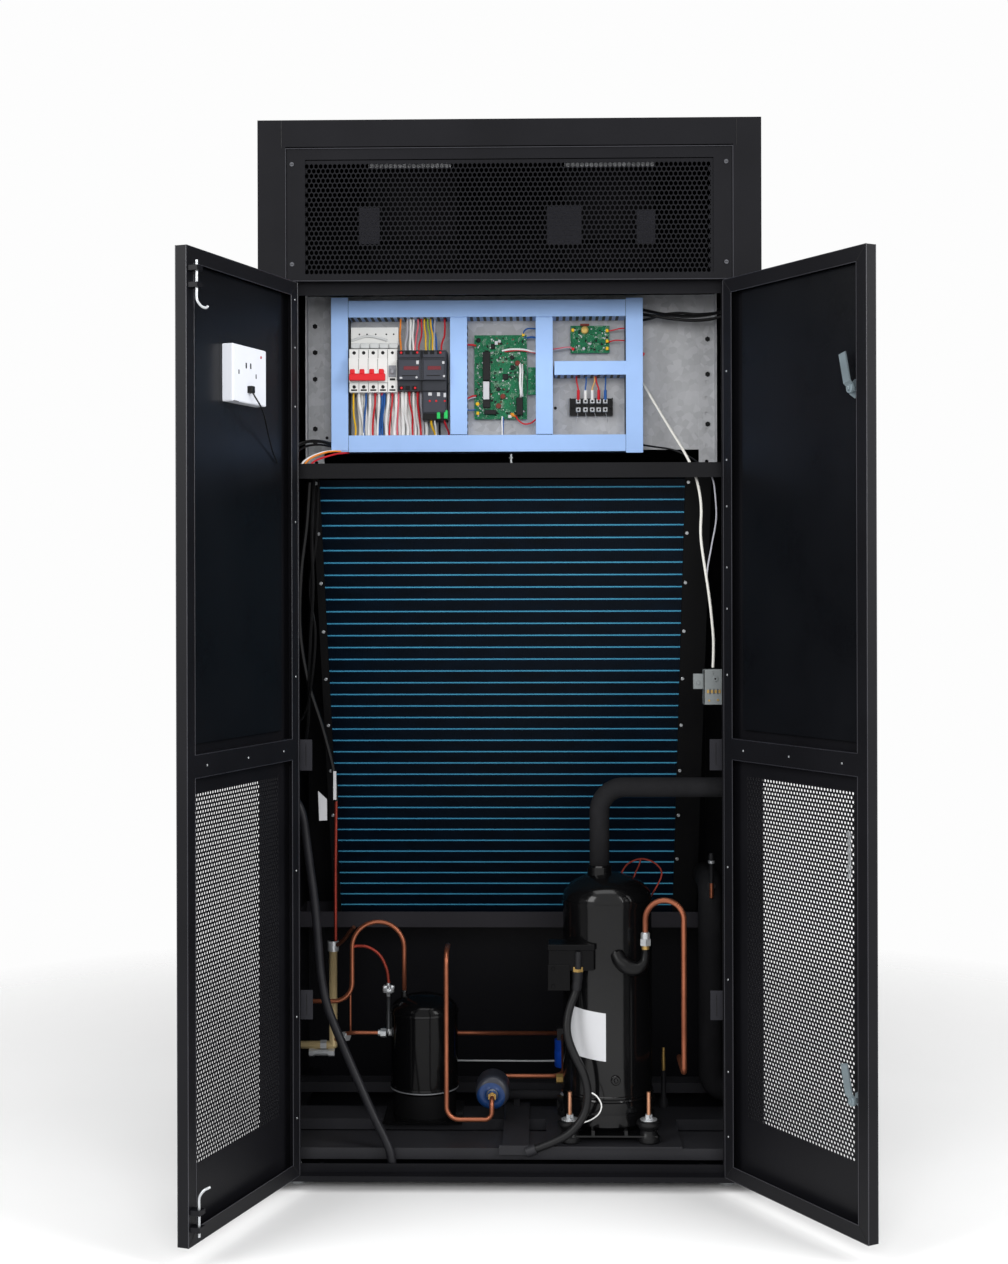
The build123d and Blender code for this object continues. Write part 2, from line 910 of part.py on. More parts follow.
def terminal_box():
    turn = radians(terminal_box_angle)
    near = compressor_y - shell_radius * cos(turn) - terminal_box_lead
    middle = compressor_x - shell_radius * sin(turn)
    ys = (near, near + terminal_box_depth)
    half = terminal_box_width / 2
    left, right = middle - half, middle + half
    box = block((left, right), ys, (terminal_box_bottom, terminal_box_bottom + terminal_box_height))
    box += block((left, left + terminal_wing_width), ys, (terminal_box_bottom - terminal_wing_drop, terminal_box_bottom))
    low = terminal_box_bottom - terminal_wing_drop - overrun
    box -= rod((compressor_x, compressor_y, low), (compressor_x, compressor_y, shell_seam), shell_radius)
    gland_y = near + gland_inset
    gland = rod((gland_x, gland_y, terminal_box_bottom - gland_length),
                (gland_x, gland_y, terminal_box_bottom), gland_radius)
    return max(box.solids(), key=lambda solid: solid.volume) + gland


def suction_line():
    start_z = shell_top - suction_radius
    route = [
        (suction_x, compressor_y, start_z),
        (suction_x, compressor_y, suction_rise),
        (suction_end_x, compressor_y, suction_rise),
        (suction_end_x, compressor_y + suction_turn, suction_rise),
    ]
    return tube(route, suction_radius, suction_bend) - compressor()


def wall_pipes():
    y = front + wall_pipe_setback
    route = [
        (wall_pipe_x, y + wall_pipe_reach, wall_pipe_high),
        (wall_pipe_x, y, wall_pipe_high),
        (wall_pipe_x, y, wall_pipe_low),
        (inner_side, y, wall_pipe_low),
    ]
    pipe = tube(route, wall_pipe_radius, wall_pipe_bend)
    for z in wall_clamp_heights:
        pipe += block((wall_pipe_x, inner_side), (y - wall_clamp_half, y + wall_clamp_half),
                      (z - wall_clamp_half, z + wall_clamp_half))
    return pipe


def discharge_line():
    reach = shell_radius + discharge_stub
    lean = radians(discharge_angle)
    y = compressor_y - reach * cos(lean)
    x = compressor_x + reach * sin(lean)
    arch = discharge_span / 2 - bend_play
    low_x = x + discharge_span
    route = [
        (x, y, discharge_elbow_z),
        (x, y, discharge_top),
        (low_x, y, discharge_top),
        (low_x, y, discharge_low),
        (low_x, y + discharge_tail, discharge_low),
    ]
    pipe = tube(route, discharge_radius, [arch, arch, discharge_tail_bend])
    elbow = rod((compressor_x, compressor_y, discharge_elbow_z), (x, y, discharge_elbow_z), discharge_elbow_radius)
    knee = Pos(x, y, discharge_elbow_z) * Sphere(discharge_elbow_radius)
    riser = rod((x, y, discharge_elbow_z), (x, y, discharge_nut_z), discharge_elbow_radius)
    nut = hexagon(Pos(x, y, discharge_nut_z), discharge_nut_width, discharge_nut_height)
    return pipe + elbow + knee + riser + nut - compressor()


def dome(radius, edge_z, tip_z):
    turns = [radians(90) * step / dome_steps for step in range(dome_steps)]
    return [(radius * cos(turn), edge_z + (tip_z - edge_z) * sin(turn)) for turn in turns] + [(0, tip_z)]


def liquid_receiver():
    radius = receiver_radius
    rim = radius + receiver_seam_reach
    half = receiver_seam_half
    profile = dome(radius, receiver_low_seam - half, receiver_bottom)[::-1]
    for seam in (receiver_low_seam, receiver_high_seam):
        profile += [(rim, seam - half), (rim, seam + half), (radius, seam + half), (radius, receiver_high_seam - half)]
    profile = profile[:-1] + dome(radius, receiver_high_seam + half, receiver_top)[1:]
    vessel = spun(profile, receiver_x, receiver_y)
    foot = receiver_foot_width / 2
    plate_top = channel_top + receiver_foot_sheet
    plate = block((receiver_x - foot, receiver_x + foot), (receiver_y - foot, receiver_y + foot),
                  (channel_top, plate_top))
    skirt = rod((receiver_x, receiver_y, plate_top), (receiver_x, receiver_y, receiver_low_seam),
                receiver_skirt_radius)
    return vessel + plate + skirt


def receiver_pipe():
    bend = (riser_right_x - riser_left_x) / 2 - bend_play
    route = [
        (riser_right_x, receiver_y, receiver_high_seam),
        (riser_right_x, receiver_y, riser_top),
        (riser_left_x, receiver_y, riser_top),
        (riser_left_x, receiver_y, riser_low),
        (-inner_side, receiver_y, riser_low),
    ]
    pipe = tube(route, riser_radius, [bend, bend, riser_bend])
    return pipe - liquid_receiver()


def charging_tube():
    stem = rod((brass_x, brass_y, brass_bottom), (brass_x, brass_y, brass_top), brass_radius)
    nut = hexagon(Pos(brass_x, brass_y, brass_top), brass_nut_width, brass_nut_height)
    arm = rod((-inner_side, brass_y, brass_bottom), (brass_x, brass_y, brass_bottom), brass_radius)
    knee = Pos(brass_x, brass_y, brass_bottom) * Sphere(brass_radius)
    return stem + nut + arm + knee


def service_valve():
    x = receiver_x - valve_offset_x
    top = valve_high + valve_wheel_height
    stem = rod((x, receiver_y, valve_low), (x, receiver_y, valve_high), valve_radius)
    wheel = rod((x, receiver_y, valve_high), (x, receiver_y, top), valve_wheel_radius)
    inlet = rod((x, receiver_y, valve_low), (receiver_x, receiver_y, valve_low), valve_inlet_radius)
    return stem + wheel + inlet - liquid_receiver()


def filter_drier():
    front_y = front + drier_front_setback
    back_y = front_y + drier_length
    body = rod((drier_x, front_y, drier_z), (drier_x, back_y, drier_z), drier_radius)
    body = fillet(body.edges(), drier_shoulder)
    for y, way in ((front_y, -1), (back_y, 1)):
        body += rod((drier_x, y - way, drier_z), (drier_x, y + way * drier_neck_length, drier_z), drier_neck_radius)
    saddle_top = centre_top
    left = centre_channel_x - centre_channel_width / 2
    middle = front_y + drier_saddle_setback
    body += block((left, left + drier_saddle_sheet), (middle - drier_saddle_half, middle + drier_saddle_half),
                  (saddle_top, drier_z))
    return body


def liquid_line():
    neck_y = front + drier_front_setback - drier_neck_length
    y = neck_y - liquid_lead
    route = [
        (liquid_x, y + liquid_tail, liquid_top),
        (liquid_x, y, liquid_top),
        (liquid_x, y, liquid_low),
        (drier_x, y, liquid_low),
        (drier_x, y, drier_z),
        (drier_x, neck_y, drier_z),
    ]
    bend = (drier_z - liquid_low) / 2 - riser_radius
    drop = tube(route, riser_radius, [liquid_bend, liquid_bend, bend, bend])
    cross_y = front + cross_setback
    corner = (receiver_x, cross_y, cross_z)
    cross = tube([(receiver_x, receiver_y, cross_z), corner, (solenoid_x, cross_y, cross_z)], riser_radius, cross_bend)
    outlet_y = front + drier_front_setback + drier_length + drier_neck_length
    turn_y = outlet_y + drier_outlet_run
    valve_x = solenoid_x + solenoid_body
    outlet = tube([(drier_x, outlet_y, drier_z), (drier_x, turn_y, drier_z), (valve_x, turn_y, drier_z),
                   (valve_x, cross_y, cross_z)], riser_radius, cross_bend)
    return [drop, cross - liquid_receiver(), outlet - solenoid_valve()]


def solenoid_valve():
    side = solenoid_body
    x = solenoid_x + side
    y = front + cross_setback
    body = block((solenoid_x, x + side), (y - side, y + side), (cross_z - side, cross_z + side))
    coil = rod((x, y, cross_z - side - solenoid_coil_length), (x, y, cross_z - side), solenoid_coil_radius)
    return body + coil


def door_switch():
    y = front + switch_setback
    body = block((switch_left, switch_right), (y, y + switch_depth), (switch_bottom, switch_bottom + switch_height))
    arm = block((switch_right, inner_side), (y + switch_depth - post_sheet, y + switch_depth),
                (switch_bottom, switch_bottom + switch_height / 2))
    return body + arm


def door_pan():
    low_z, high_z = door_bottom, door_top
    sheet = door_sheet
    outer = block((door_start, door_end), (door_face, door_back), (low_z, high_z))
    hollow = block((door_start + sheet, door_end - sheet), (door_face + sheet, door_back - sheet),
                   (low_z + sheet, high_z - sheet))
    window = block((door_start + door_lip, door_end - door_lip), (door_back - sheet - overrun, door_back + overrun),
                   (low_z + door_lip, high_z - door_lip))
    pan = outer - hollow - window
    rail_xs = (door_start + sheet, door_end - sheet)
    pan += block(rail_xs, (door_back - sheet, door_back), (mid_rail_bottom, mid_rail_top))
    for z in (mid_rail_bottom, mid_rail_top - sheet):
        pan += block(rail_xs, (door_face + sheet, door_back), (z, z + sheet))
    pan -= block((mesh_start, mesh_end), (door_face - overrun, door_face + sheet), (mesh_bottom, mesh_top))
    for z in hinge_heights:
        pan = pan - hinge_room(z) + moving_hinge_half(z)
    return pan


def hinge_room(z):
    ends = hinge_thirds(z)
    return block((-door_start, door_start), (-hinge_room_reach, door_back + overrun), (ends[0], ends[3]))


def moving_hinge_half(z):
    ends = hinge_thirds(z)
    low, high = ends[1], ends[2]
    barrel = rod((0, 0, low), (0, 0, high), hinge_knuckle_radius)
    web = block((0, door_start), (0, door_face + hinge_leaf_depth), (low, high))
    web -= block((0, door_start - hinge_leaf_sheet), (hinge_knuckle_radius, door_back), (low, high))
    return barrel + web - rod((0, 0, low), (0, 0, high), hinge_pin_radius + hinge_running_gap)


def door_mesh():
    y = door_face + door_sheet
    return block((mesh_start - mesh_lap, mesh_end + mesh_lap), (y, y + mesh_sheet),
                 (mesh_bottom - mesh_lap, mesh_top + mesh_lap))


def door_liner():
    y = door_face + door_sheet
    xs = (door_start + door_lip + liner_inset, door_end - door_lip + liner_overlap)
    liner = block(xs, (y, y + liner_thickness), (liner_bottom, liner_top))
    return liner


def controller_box():
    y = door_face + door_sheet + liner_thickness
    box = block((controller_start, controller_start + controller_width), (y, y + controller_depth),
                (controller_bottom, controller_bottom + controller_height))
    return fillet(box.edges().filter_by(Axis.Y) + box.faces().sort_by(Axis.Y)[-1].edges(), controller_radius)


bolt_x = door_end - bolt_edge_inset
bolt_y = hinge_lead + rebate_setback + post_sheet + bolt_clearance + bolt_radius


def flush_bolt(end_z, way):
    start_z = end_z - way * bolt_length
    pin = rod((bolt_x, bolt_y, min(end_z, start_z)), (bolt_x, bolt_y, max(end_z, start_z)), bolt_radius)
    knob_z = start_z + way * bolt_knob_radius
    knob = rod((bolt_x, bolt_y, knob_z), (bolt_x - bolt_knob_reach, bolt_y, knob_z), bolt_knob_radius)
    return pin + knob


def bolt_guides(end_z, way):
    half = bolt_guide_width / 2
    guides = []
    for offset in (bolt_guide_inset, bolt_guide_inset + bolt_guide_pitch):
        zs = sorted((end_z - way * offset, end_z - way * (offset + bolt_guide_height)))
        guide = block((bolt_x - half, bolt_x + half), (door_back, bolt_y + bolt_radius + bolt_guide_wall), zs)
        guide -= rod((bolt_x, bolt_y, zs[0] - overrun), (bolt_x, bolt_y, zs[1] + overrun),
                     bolt_radius + bolt_running_gap)
        guides.append(guide)
    return guides


def latch_seat(z):
    return door_face + door_sheet + (liner_thickness if liner_bottom < z < liner_top else 0)


def latch_housing(z):
    seat = latch_seat(z)
    head = rod((latch_x, door_face - latch_head_height, z), (latch_x, door_face, z), latch_head_radius)
    barrel = rod((latch_x, door_face - latch_head_height, z), (latch_x, seat + latch_nut_height, z), latch_body_radius)
    nut_place = Plane(origin=(latch_x, seat, z), z_dir=(0, 1, 0))
    nut = extrude(nut_place * RegularPolygon(latch_nut_width / 2, 6, major_radius=False), latch_nut_height)
    return head + barrel + nut


def latch_bore(z):
    return rod((latch_x, door_face, z), (latch_x, door_back, z), latch_shaft_radius + latch_shaft_gap)


def cam_latch(z):
    y = door_back + cam_lift
    points = [
        (0, 0), (cam_bend_start, 0), (cam_bend_end, cam_joggle), (cam_length, cam_joggle),
        (cam_length, cam_joggle + cam_sheet), (cam_bend_end, cam_joggle + cam_sheet),
        (cam_bend_start, cam_sheet), (0, cam_sheet),
    ]
    strip = extrude(Plane.XY * make_face(Polyline(*points, close=True)), cam_width / 2, both=True)
    ring = rod((0, 0, 0), (0, cam_sheet, 0), cam_width / 2)
    shaft_start = latch_seat(z) - y
    shaft = rod((0, shaft_start, 0), (0, cam_sheet, 0), latch_shaft_radius)
    cam = strip + ring + shaft
    return Pos(latch_x, y, z) * Rot(0, -90 - latch_lean, 0) * cam


drain_hose_route = [
    (-446, -270, 690), (-417, -270, 690), (-392, -270, 672), (-381, -269, 644), (-376, -268, 600),
    (-368, -267, 540), (-360, -267, 480), (-355, -267, 420), (-351, -268, 360), (-341, -269, 302),
    (-320, -272, 250), (-297, -276, 198), (-273, -283, 146), (-249, -297, 98), (-227, -309, 61),
    (-216, -312, 34), (-216, -312, 12),
]
compressor_cable_route = [
    (120, -258.2, 348), (120, -258.2, 324), (104, -272, 292), (99, -284, 252), (112, -290, 216),
    (132, -295, 180), (140, -299, 142), (132, -304, 106), (108, -309, 77), (74, -310, 58.8),
    (44, -306.8, 47.1),
]
switch_lead_route = [
    (249.5, -150, 1448), (271, -186, 1404), (297, -226, 1352), (321, -264, 1306), (337, -288, 1262),
    (343, -292, 1206), (349, -293, 1146), (355, -293, 1086), (361, -291, 1026), (367.5, -283, 968),
    (368, -280, 916.2),
]


def corner_radii(route, name):
    points = [Vector(*point) for point in route]
    radii = []
    for before, here, after in zip(points, points[1:], points[2:]):
        turn = (here - before).get_angle(after - here)
        shorter = min((here - before).length, (after - here).length)
        radii.append(0.45 * shorter / tan(radians(turn) / 2))
    print(name, "radii", [round(radius, 1) for radius in radii])
    return radii


def cord(route, radius, name):
    return tube(route, radius, corner_radii(route, name))


upper_bolt_end = header_bottom - bolt_clear
lower_bolt_end = sill_height + bolt_clear

cabinet_parts = {
    "base_frame": base_frame(),
    "levelling_feet": levelling_feet(),
    "base_channels": base_channels(),
    "front_post_left": front_post(),
    "front_post_right": front_post().mirror(Plane.YZ),
    "side_panel_left": side_panel() + hose_fitting(),
    "side_panel_right": side_panel().mirror(Plane.YZ),
    "back_panel": back_panel(),
    "top_cover": top_cover(),
    "top_rail": top_rail(),
    "door_header": door_header(),
    "grille_panel": grille_panel(),
    "grille_mesh": grille_mesh(),
    "fan_deck": fan_deck(),
    "blower_housings": [blower(x) for x in blower_places],
    "electrical_tray": electrical_tray(),
    "mounting_plate": mounting_plate(),
    "slotted_angles": slotted_angles(),
    "wiring_ducts": wiring_ducts(),
    "circuit_breaker": circuit_breaker(),
    "contactors": contactors(),
    "neutral_terminals": neutral_terminals(),
    "main_circuit_board": main_circuit_board(),
    "relay_board": relay_board(),
    "terminal_strip": terminal_strip(),
    "evaporator_coil": evaporator_coil(),
    "coil_end_plates": coil_end_plates(),
    "drain_pan": drain_pan(),
    "compressor": compressor(),
    "compressor_base_plate": compressor_base_plate(),
    "compressor_mounts": compressor_mounts(),
    "compressor_terminal_box": terminal_box(),
    "suction_line": suction_line(),
    "wall_pipes": wall_pipes(),
    "discharge_line": discharge_line(),
    "liquid_receiver": liquid_receiver(),
    "receiver_pipe": receiver_pipe(),
    "charging_tube": charging_tube(),
    "service_valve": service_valve(),
    "filter_drier": filter_drier(),
    "liquid_line": liquid_line(),
    "solenoid_valve": solenoid_valve(),
    "door_switch": door_switch(),
    "drain_hose": cord(drain_hose_route, hose_radius, "drain hose"),
    "compressor_cable": cord(compressor_cable_route, cable_radius, "compressor cable"),
    "switch_lead": cord(switch_lead_route, lead_radius, "switch lead"),
}
left_door_parts = {
    "left_door_panel": door_pan(),
    "left_door_liner": door_liner(),
    "left_door_mesh": door_mesh(),
    "controller_box": controller_box(),
    "flush_bolt_guides": bolt_guides(upper_bolt_end, 1) + bolt_guides(lower_bolt_end, -1),
    "upper_flush_bolt": flush_bolt(upper_bolt_end, 1),
    "lower_flush_bolt": flush_bolt(lower_bolt_end, -1),
}
right_liner = door_liner() - latch_housing(latch_heights[0])
right_door_parts = {
    "right_door_panel": door_pan() - [latch_housing(z) for z in latch_heights],
    "right_door_liner": right_liner,
    "right_door_mesh": door_mesh(),
    "latch_housings": [latch_housing(z) - latch_bore(z) for z in latch_heights],
    "upper_cam_latch": cam_latch(latch_heights[0]),
    "lower_cam_latch": cam_latch(latch_heights[1]),
}


def placed(shape, place):
    pieces = shape if isinstance(shape, list) else [shape]
    solids = [solid for piece in pieces for solid in place(piece).solids()]
    return solids[0] if len(solids) == 1 else Compound(solids)


os.makedirs("parts", exist_ok=True)
groups = ((cabinet_parts, lambda shape: shape), (left_door_parts, left_door_place), (right_door_parts, right_door_place))
for group, place in groups:
    for node, shape in group.items():
        export_step(placed(shape, place), f"parts/{node}.step")
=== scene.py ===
from math import cos, pi, radians, sin

import bmesh
import bpy
import numpy as np
from mathutils import Matrix


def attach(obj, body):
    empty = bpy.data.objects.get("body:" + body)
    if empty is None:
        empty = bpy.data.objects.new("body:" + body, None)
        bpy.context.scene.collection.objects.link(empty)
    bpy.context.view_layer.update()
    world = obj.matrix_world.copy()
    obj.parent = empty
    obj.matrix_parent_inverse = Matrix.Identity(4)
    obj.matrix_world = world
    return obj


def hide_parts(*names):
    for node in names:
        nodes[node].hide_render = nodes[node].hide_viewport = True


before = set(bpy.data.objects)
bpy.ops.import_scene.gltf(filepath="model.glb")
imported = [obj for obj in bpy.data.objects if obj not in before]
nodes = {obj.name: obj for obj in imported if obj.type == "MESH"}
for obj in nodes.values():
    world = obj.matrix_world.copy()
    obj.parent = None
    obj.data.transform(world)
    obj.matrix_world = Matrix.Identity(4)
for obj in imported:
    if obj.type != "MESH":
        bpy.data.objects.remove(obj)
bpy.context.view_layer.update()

# Looks of a computer room air conditioner: finishes, wiring, cords, perforated sheets and small fittings.
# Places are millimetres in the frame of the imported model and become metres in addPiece.
mm = 0.001


def rgb(red, green, blue):
    # a screen colour from 0 to 255 becomes linear light
    screen = np.array([red, green, blue]) / 255
    linear = np.where(screen <= 0.04045, screen / 12.92, ((screen + 0.055) / 1.055) ** 2.4)
    return (*linear.tolist(), 1.0)


class Wire:
    # a node's output that takes part in Python sums
    def __init__(self, finish, socket):
        self.finish = finish
        self.socket = socket

    def sum(self, operation, first, second):
        return self.finish.node("ShaderNodeMath", {"operation": operation}, {0: first, 1: second})

    def __add__(self, other):
        return self.sum("ADD", self, other)

    def __radd__(self, other):
        return self.sum("ADD", other, self)

    def __sub__(self, other):
        return self.sum("SUBTRACT", self, other)

    def __rsub__(self, other):
        return self.sum("SUBTRACT", other, self)

    def __mul__(self, other):
        return self.sum("MULTIPLY", self, other)

    def __rmul__(self, other):
        return self.sum("MULTIPLY", other, self)

    def __truediv__(self, other):
        return self.sum("DIVIDE", self, other)

    def __lt__(self, other):
        return self.sum("LESS_THAN", self, other)

    def __gt__(self, other):
        return self.sum("GREATER_THAN", self, other)

    def turns(self):
        return self.sum("FRACT", self, 0)

    def size(self):
        return self.sum("ABSOLUTE", self, 0)


class Finish:
    # a material that starts as one Principled surface, read at the piece's own coordinates
    def __init__(self, name):
        self.material = bpy.data.materials.new(name)
        self.material.use_nodes = True
        self.tree = self.material.node_tree
        self.surface = self.tree.nodes["Principled BSDF"]
        self.place = self.node("ShaderNodeTexCoord", out="Object")

    def put(self, socket, value):
        if isinstance(value, Wire):
            self.tree.links.new(value.socket, socket)
        else:
            socket.default_value = value

    def node(self, kind, settings=None, inputs=None, out=0):
        made = self.tree.nodes.new(kind)
        for key, value in (settings or {}).items():
            if key == "stops":
                self.stops(made.color_ramp, value)
            else:
                setattr(made, key, value)
        for key, value in (inputs or {}).items():
            self.put(made.inputs[key], value)
        return Wire(self, made.outputs[out])

    def stops(self, ramp, values):
        while len(ramp.elements) < len(values):
            ramp.elements.new(0.5)
        for element, (position, tone) in zip(ramp.elements, values):
            element.position = position
            element.color = tone

    def set(self, name, value):
        self.put(self.surface.inputs[name], value)

    def axis(self, letter, place=None):
        return self.node("ShaderNodeSeparateXYZ", None, {0: place or self.place}, letter)

    def turned(self, angle=(0, 0, 0), scale=(1, 1, 1), offset=(0, 0, 0)):
        values = {"Vector": self.place, "Rotation": angle, "Scale": scale, "Location": offset}
        return self.node("ShaderNodeMapping", {"vector_type": "POINT"}, values)

    def noise(self, scale, detail=3, stretch=(1, 1, 1)):
        return self.node("ShaderNodeTexNoise", None,
                         {"Vector": self.turned(scale=stretch), "Scale": scale, "Detail": detail})

    def cells(self, scale, feature="F1", out="Color"):
        return self.node("ShaderNodeTexVoronoi", {"feature": feature},
                         {"Vector": self.place, "Scale": scale}, out)

    def mix(self, factor, first, second):
        return self.node("ShaderNodeMix", {"data_type": "RGBA"}, {0: factor, 6: first, 7: second}, 2)

    def ramp(self, value, low, high, first=(0, 0, 0, 1), second=(1, 1, 1, 1)):
        return self.node("ShaderNodeValToRGB", {"stops": [(low, first), (high, second)]}, {0: value})

    def bump(self, height, depth):
        self.set("Normal", self.node("ShaderNodeBump", None, {"Height": height, "Distance": depth}))


def scaled(tone, share):
    # the same hue, darker or brighter
    return (*[value * share for value in tone[:3]], 1.0)


def coatFinish(name, tone, rough=0.42, depth=0.00006, mottle=0.3, gloss=0.12):
    # sprayed coat: broad cloudy tone, fine orange-peel bump and slightly uneven shine
    finish = Finish(name)
    cloud = finish.noise(7, 4)
    grain = finish.noise(1500, 2)
    dust = finish.ramp(finish.noise(260, 2), 0.66, 0.74)
    body = finish.mix(cloud, scaled(tone, 1 - mottle), scaled(tone, 1 + mottle))
    finish.set("Base Color", finish.mix(0.05 * dust, body, scaled(tone, 4)))
    finish.set("Roughness", rough + 0.16 * (cloud - 0.5) + 0.1 * (grain - 0.5))
    finish.set("Specular IOR Level", gloss)
    finish.bump(grain, depth)
    return finish.material


def enamelFinish(name, tone, rough=0.14, gloss=0.24):
    # glossy enamel with faint waviness, runs and settled dust
    finish = Finish(name)
    cloud = finish.noise(11, 3)
    wave = finish.noise(38, 2)
    dust = finish.ramp(finish.noise(700, 3), 0.6, 0.78)
    finish.set("Base Color",
               finish.mix(0.02 * dust, finish.mix(cloud, scaled(tone, 0.6), scaled(tone, 1.4)),
                          rgb(120, 118, 112)))
    finish.set("Roughness", rough + 0.16 * (cloud - 0.4) * cloud + 0.12 * dust)
    finish.set("Specular IOR Level", gloss)
    finish.set("Coat Weight", gloss / 2)
    finish.set("Coat Roughness", 0.06)
    finish.bump(wave, 0.00012)
    return finish.material


def galvanisedFinish(name, tone=rgb(186, 187, 190)):
    # zinc spangle: large crystals of slightly different tone and shine, with smudges
    finish = Finish(name)
    crystal = finish.axis("X", finish.cells(85))
    smudge = finish.noise(9, 4)
    fleck = finish.noise(420, 2)
    base = finish.mix(crystal, scaled(tone, 0.78), scaled(tone, 1.08))
    finish.set("Base Color", finish.mix(0.35 * smudge, base, scaled(tone, 0.6)))
    finish.set("Metallic", 0.22)
    finish.set("Roughness", 0.38 + 0.16 * crystal + 0.1 * smudge)
    finish.bump(fleck, 0.00004)
    return finish.material


def platedFinish(name, tone=rgb(200, 203, 206), rough=0.27, metal=0.7):
    # bright plate: brushed streaks, cloudy tarnish and small dark pits
    finish = Finish(name)
    streak = finish.noise(160, 2, (1, 1, 0.08))
    tarnish = finish.noise(30, 4)
    pits = finish.ramp(finish.noise(900, 2), 0.7, 0.78)
    base = finish.mix(tarnish, scaled(tone, 0.72), scaled(tone, 1.06))
    finish.set("Base Color", finish.mix(0.5 * pits, base, scaled(tone, 0.3)))
    finish.set("Metallic", metal)
    finish.set("Roughness", rough + 0.14 * (streak - 0.5) + 0.12 * tarnish)
    finish.bump(streak, 0.00005)
    return finish.material


def copperFinish(name, tone=rgb(172, 104, 76), rough=0.26):
    # drawn copper: lengthwise drawing lines, brown oxide clouds and darker heat stains
    finish = Finish(name)
    oxide = finish.noise(26, 5)
    stain = finish.ramp(finish.noise(9, 3), 0.45, 0.75)
    line = finish.noise(500, 2, (1, 1, 0.1))
    base = finish.mix(oxide, scaled(tone, 0.62), scaled(tone, 1.12))
    finish.set("Base Color", finish.mix(0.6 * stain, base, rgb(96, 52, 38)))
    finish.set("Metallic", 0.8)
    finish.set("Roughness", rough + 0.25 * stain + 0.1 * oxide)
    finish.bump(line, 0.00003)
    return finish.material


def plasticFinish(name, tone, rough=0.4, depth=0.00002, mottle=0.06):
    # moulded plastic: very even tone, light spark-eroded grain and handling marks
    finish = Finish(name)
    grain = finish.noise(2200, 1)
    marks = finish.noise(24, 4)
    finish.set("Base Color", finish.mix(marks, scaled(tone, 1 - mottle), scaled(tone, 1 + mottle)))
    finish.set("Roughness", rough + 0.12 * (marks - 0.5))
    finish.set("Specular IOR Level", 0.3)
    finish.bump(grain, depth)
    return finish.material


def foamFinish(name, tone=rgb(30, 30, 32)):
    # closed-cell foam: soft dull skin with fine cells, long creases and scuffs
    finish = Finish(name)
    cell = finish.noise(900, 2)
    crease = finish.noise(60, 3)
    scuff = finish.ramp(finish.noise(22, 4), 0.55, 0.75)
    base = finish.mix(crease, scaled(tone, 0.7), scaled(tone, 1.1))
    finish.set("Base Color", finish.mix(0.3 * scuff, base, scaled(tone, 1.9)))
    finish.set("Roughness", 0.72 + 0.12 * crease)
    finish.set("Specular IOR Level", 0.15)
    finish.bump(cell + 2 * crease, 0.00025)
    return finish.material


def rubberFinish(name, tone=rgb(24, 24, 26), rough=0.5):
    # extruded rubber or cable sheath: ring-like extrusion ripple and grey bloom
    finish = Finish(name)
    bloom = finish.noise(34, 4)
    fine = finish.noise(800, 2)
    finish.set("Base Color", finish.mix(bloom, scaled(tone, 0.7), scaled(tone, 1.5)))
    finish.set("Roughness", rough + 0.2 * (bloom - 0.5))
    finish.set("Specular IOR Level", 0.22)
    finish.bump(fine, 0.00008)
    return finish.material


def boardFinish(name):
    # circuit board: green mask over copper tracks, drilled pads in rows and pale flux marks
    finish = Finish(name)
    along = finish.axis("X")
    up = finish.axis("Z")
    track = ((finish.noise(170, 1, (1, 1, 4)) - 0.5).size() < 0.035)
    cross = ((finish.noise(170, 1, (4, 1, 1)) - 0.5).size() < 0.03)
    padX = ((along * 393).turns() - 0.5).size()
    padZ = ((up * 393).turns() - 0.5).size()
    pads = (padX * padX + padZ * padZ < 0.05) * (finish.noise(90, 1) > 0.56)
    mask = finish.mix(finish.noise(60, 3), rgb(8, 66, 44), rgb(20, 104, 68))
    traced = finish.mix(0.6 * (track + cross), mask, rgb(38, 140, 92))
    finish.set("Base Color", finish.mix(pads, traced, rgb(196, 200, 190)))
    finish.set("Roughness", 0.3 + 0.2 * pads)
    finish.set("Specular IOR Level", 0.25)
    finish.bump(track + cross + pads, 0.00006)
    return finish.material


def finFinish(name, pack):
    # blue fin pack: painted highlights along the tube rows with a painted glow beside them, painted shade in
    # the gaps between the upright fins, and a painted sheen over the fins
    finish = Finish(name)
    level = finish.turned(angle=(radians(-pack["tilt"]), 0, 0))
    row = finish.axis("Z", level) / pack["pitch"]
    edge = ((row + pack["shift"]).turns() - 0.5).size()
    fin = (finish.axis("X") * pack["finsPerMetre"]).turns()
    paintedSheen = finish.noise(16, 4, (1, 0.3, 3))
    tone = finish.mix(paintedSheen, rgb(1, 4, 8), rgb(4, 18, 32))
    # painted highlight lines along the tube rows, with a painted glow band beside them
    lit = finish.mix(finish.noise(3, 2, (1, 0.2, 0.2)), rgb(40, 110, 150), rgb(94, 182, 212))
    glow = finish.mix(edge < pack["glow"], tone, rgb(4, 40, 66))
    # painted shade in the gaps between the fins
    finGapShade = finish.mix((fin - 0.5).size() * 0.5, glow, rgb(2, 3, 6))
    finish.set("Base Color", finish.mix(edge < pack["edge"], finGapShade, lit))
    finish.set("Roughness", 0.38 + 0.2 * fin)
    finish.set("Specular IOR Level", 0.08)
    finish.bump(fin, 0.0004)
    return finish.material


# Shapes, as (points, faces) with points in millimetres


def surface(points, across=True, cap=True):
    # quads between neighbours of a grid, closed across the second parameter, with flat ends
    rows, columns = points.shape[:2]
    index = np.arange(rows * columns).reshape(rows, columns)
    ring = np.hstack([index, index[:, :1]]) if across else index
    quads = np.stack([ring[:-1, :-1], ring[:-1, 1:], ring[1:, 1:], ring[1:, :-1]], -1)
    faces = quads.reshape(-1, 4).tolist()
    if cap and across:
        faces += [index[0, ::-1].tolist(), index[-1].tolist()]
    return points.reshape(-1, 3), faces


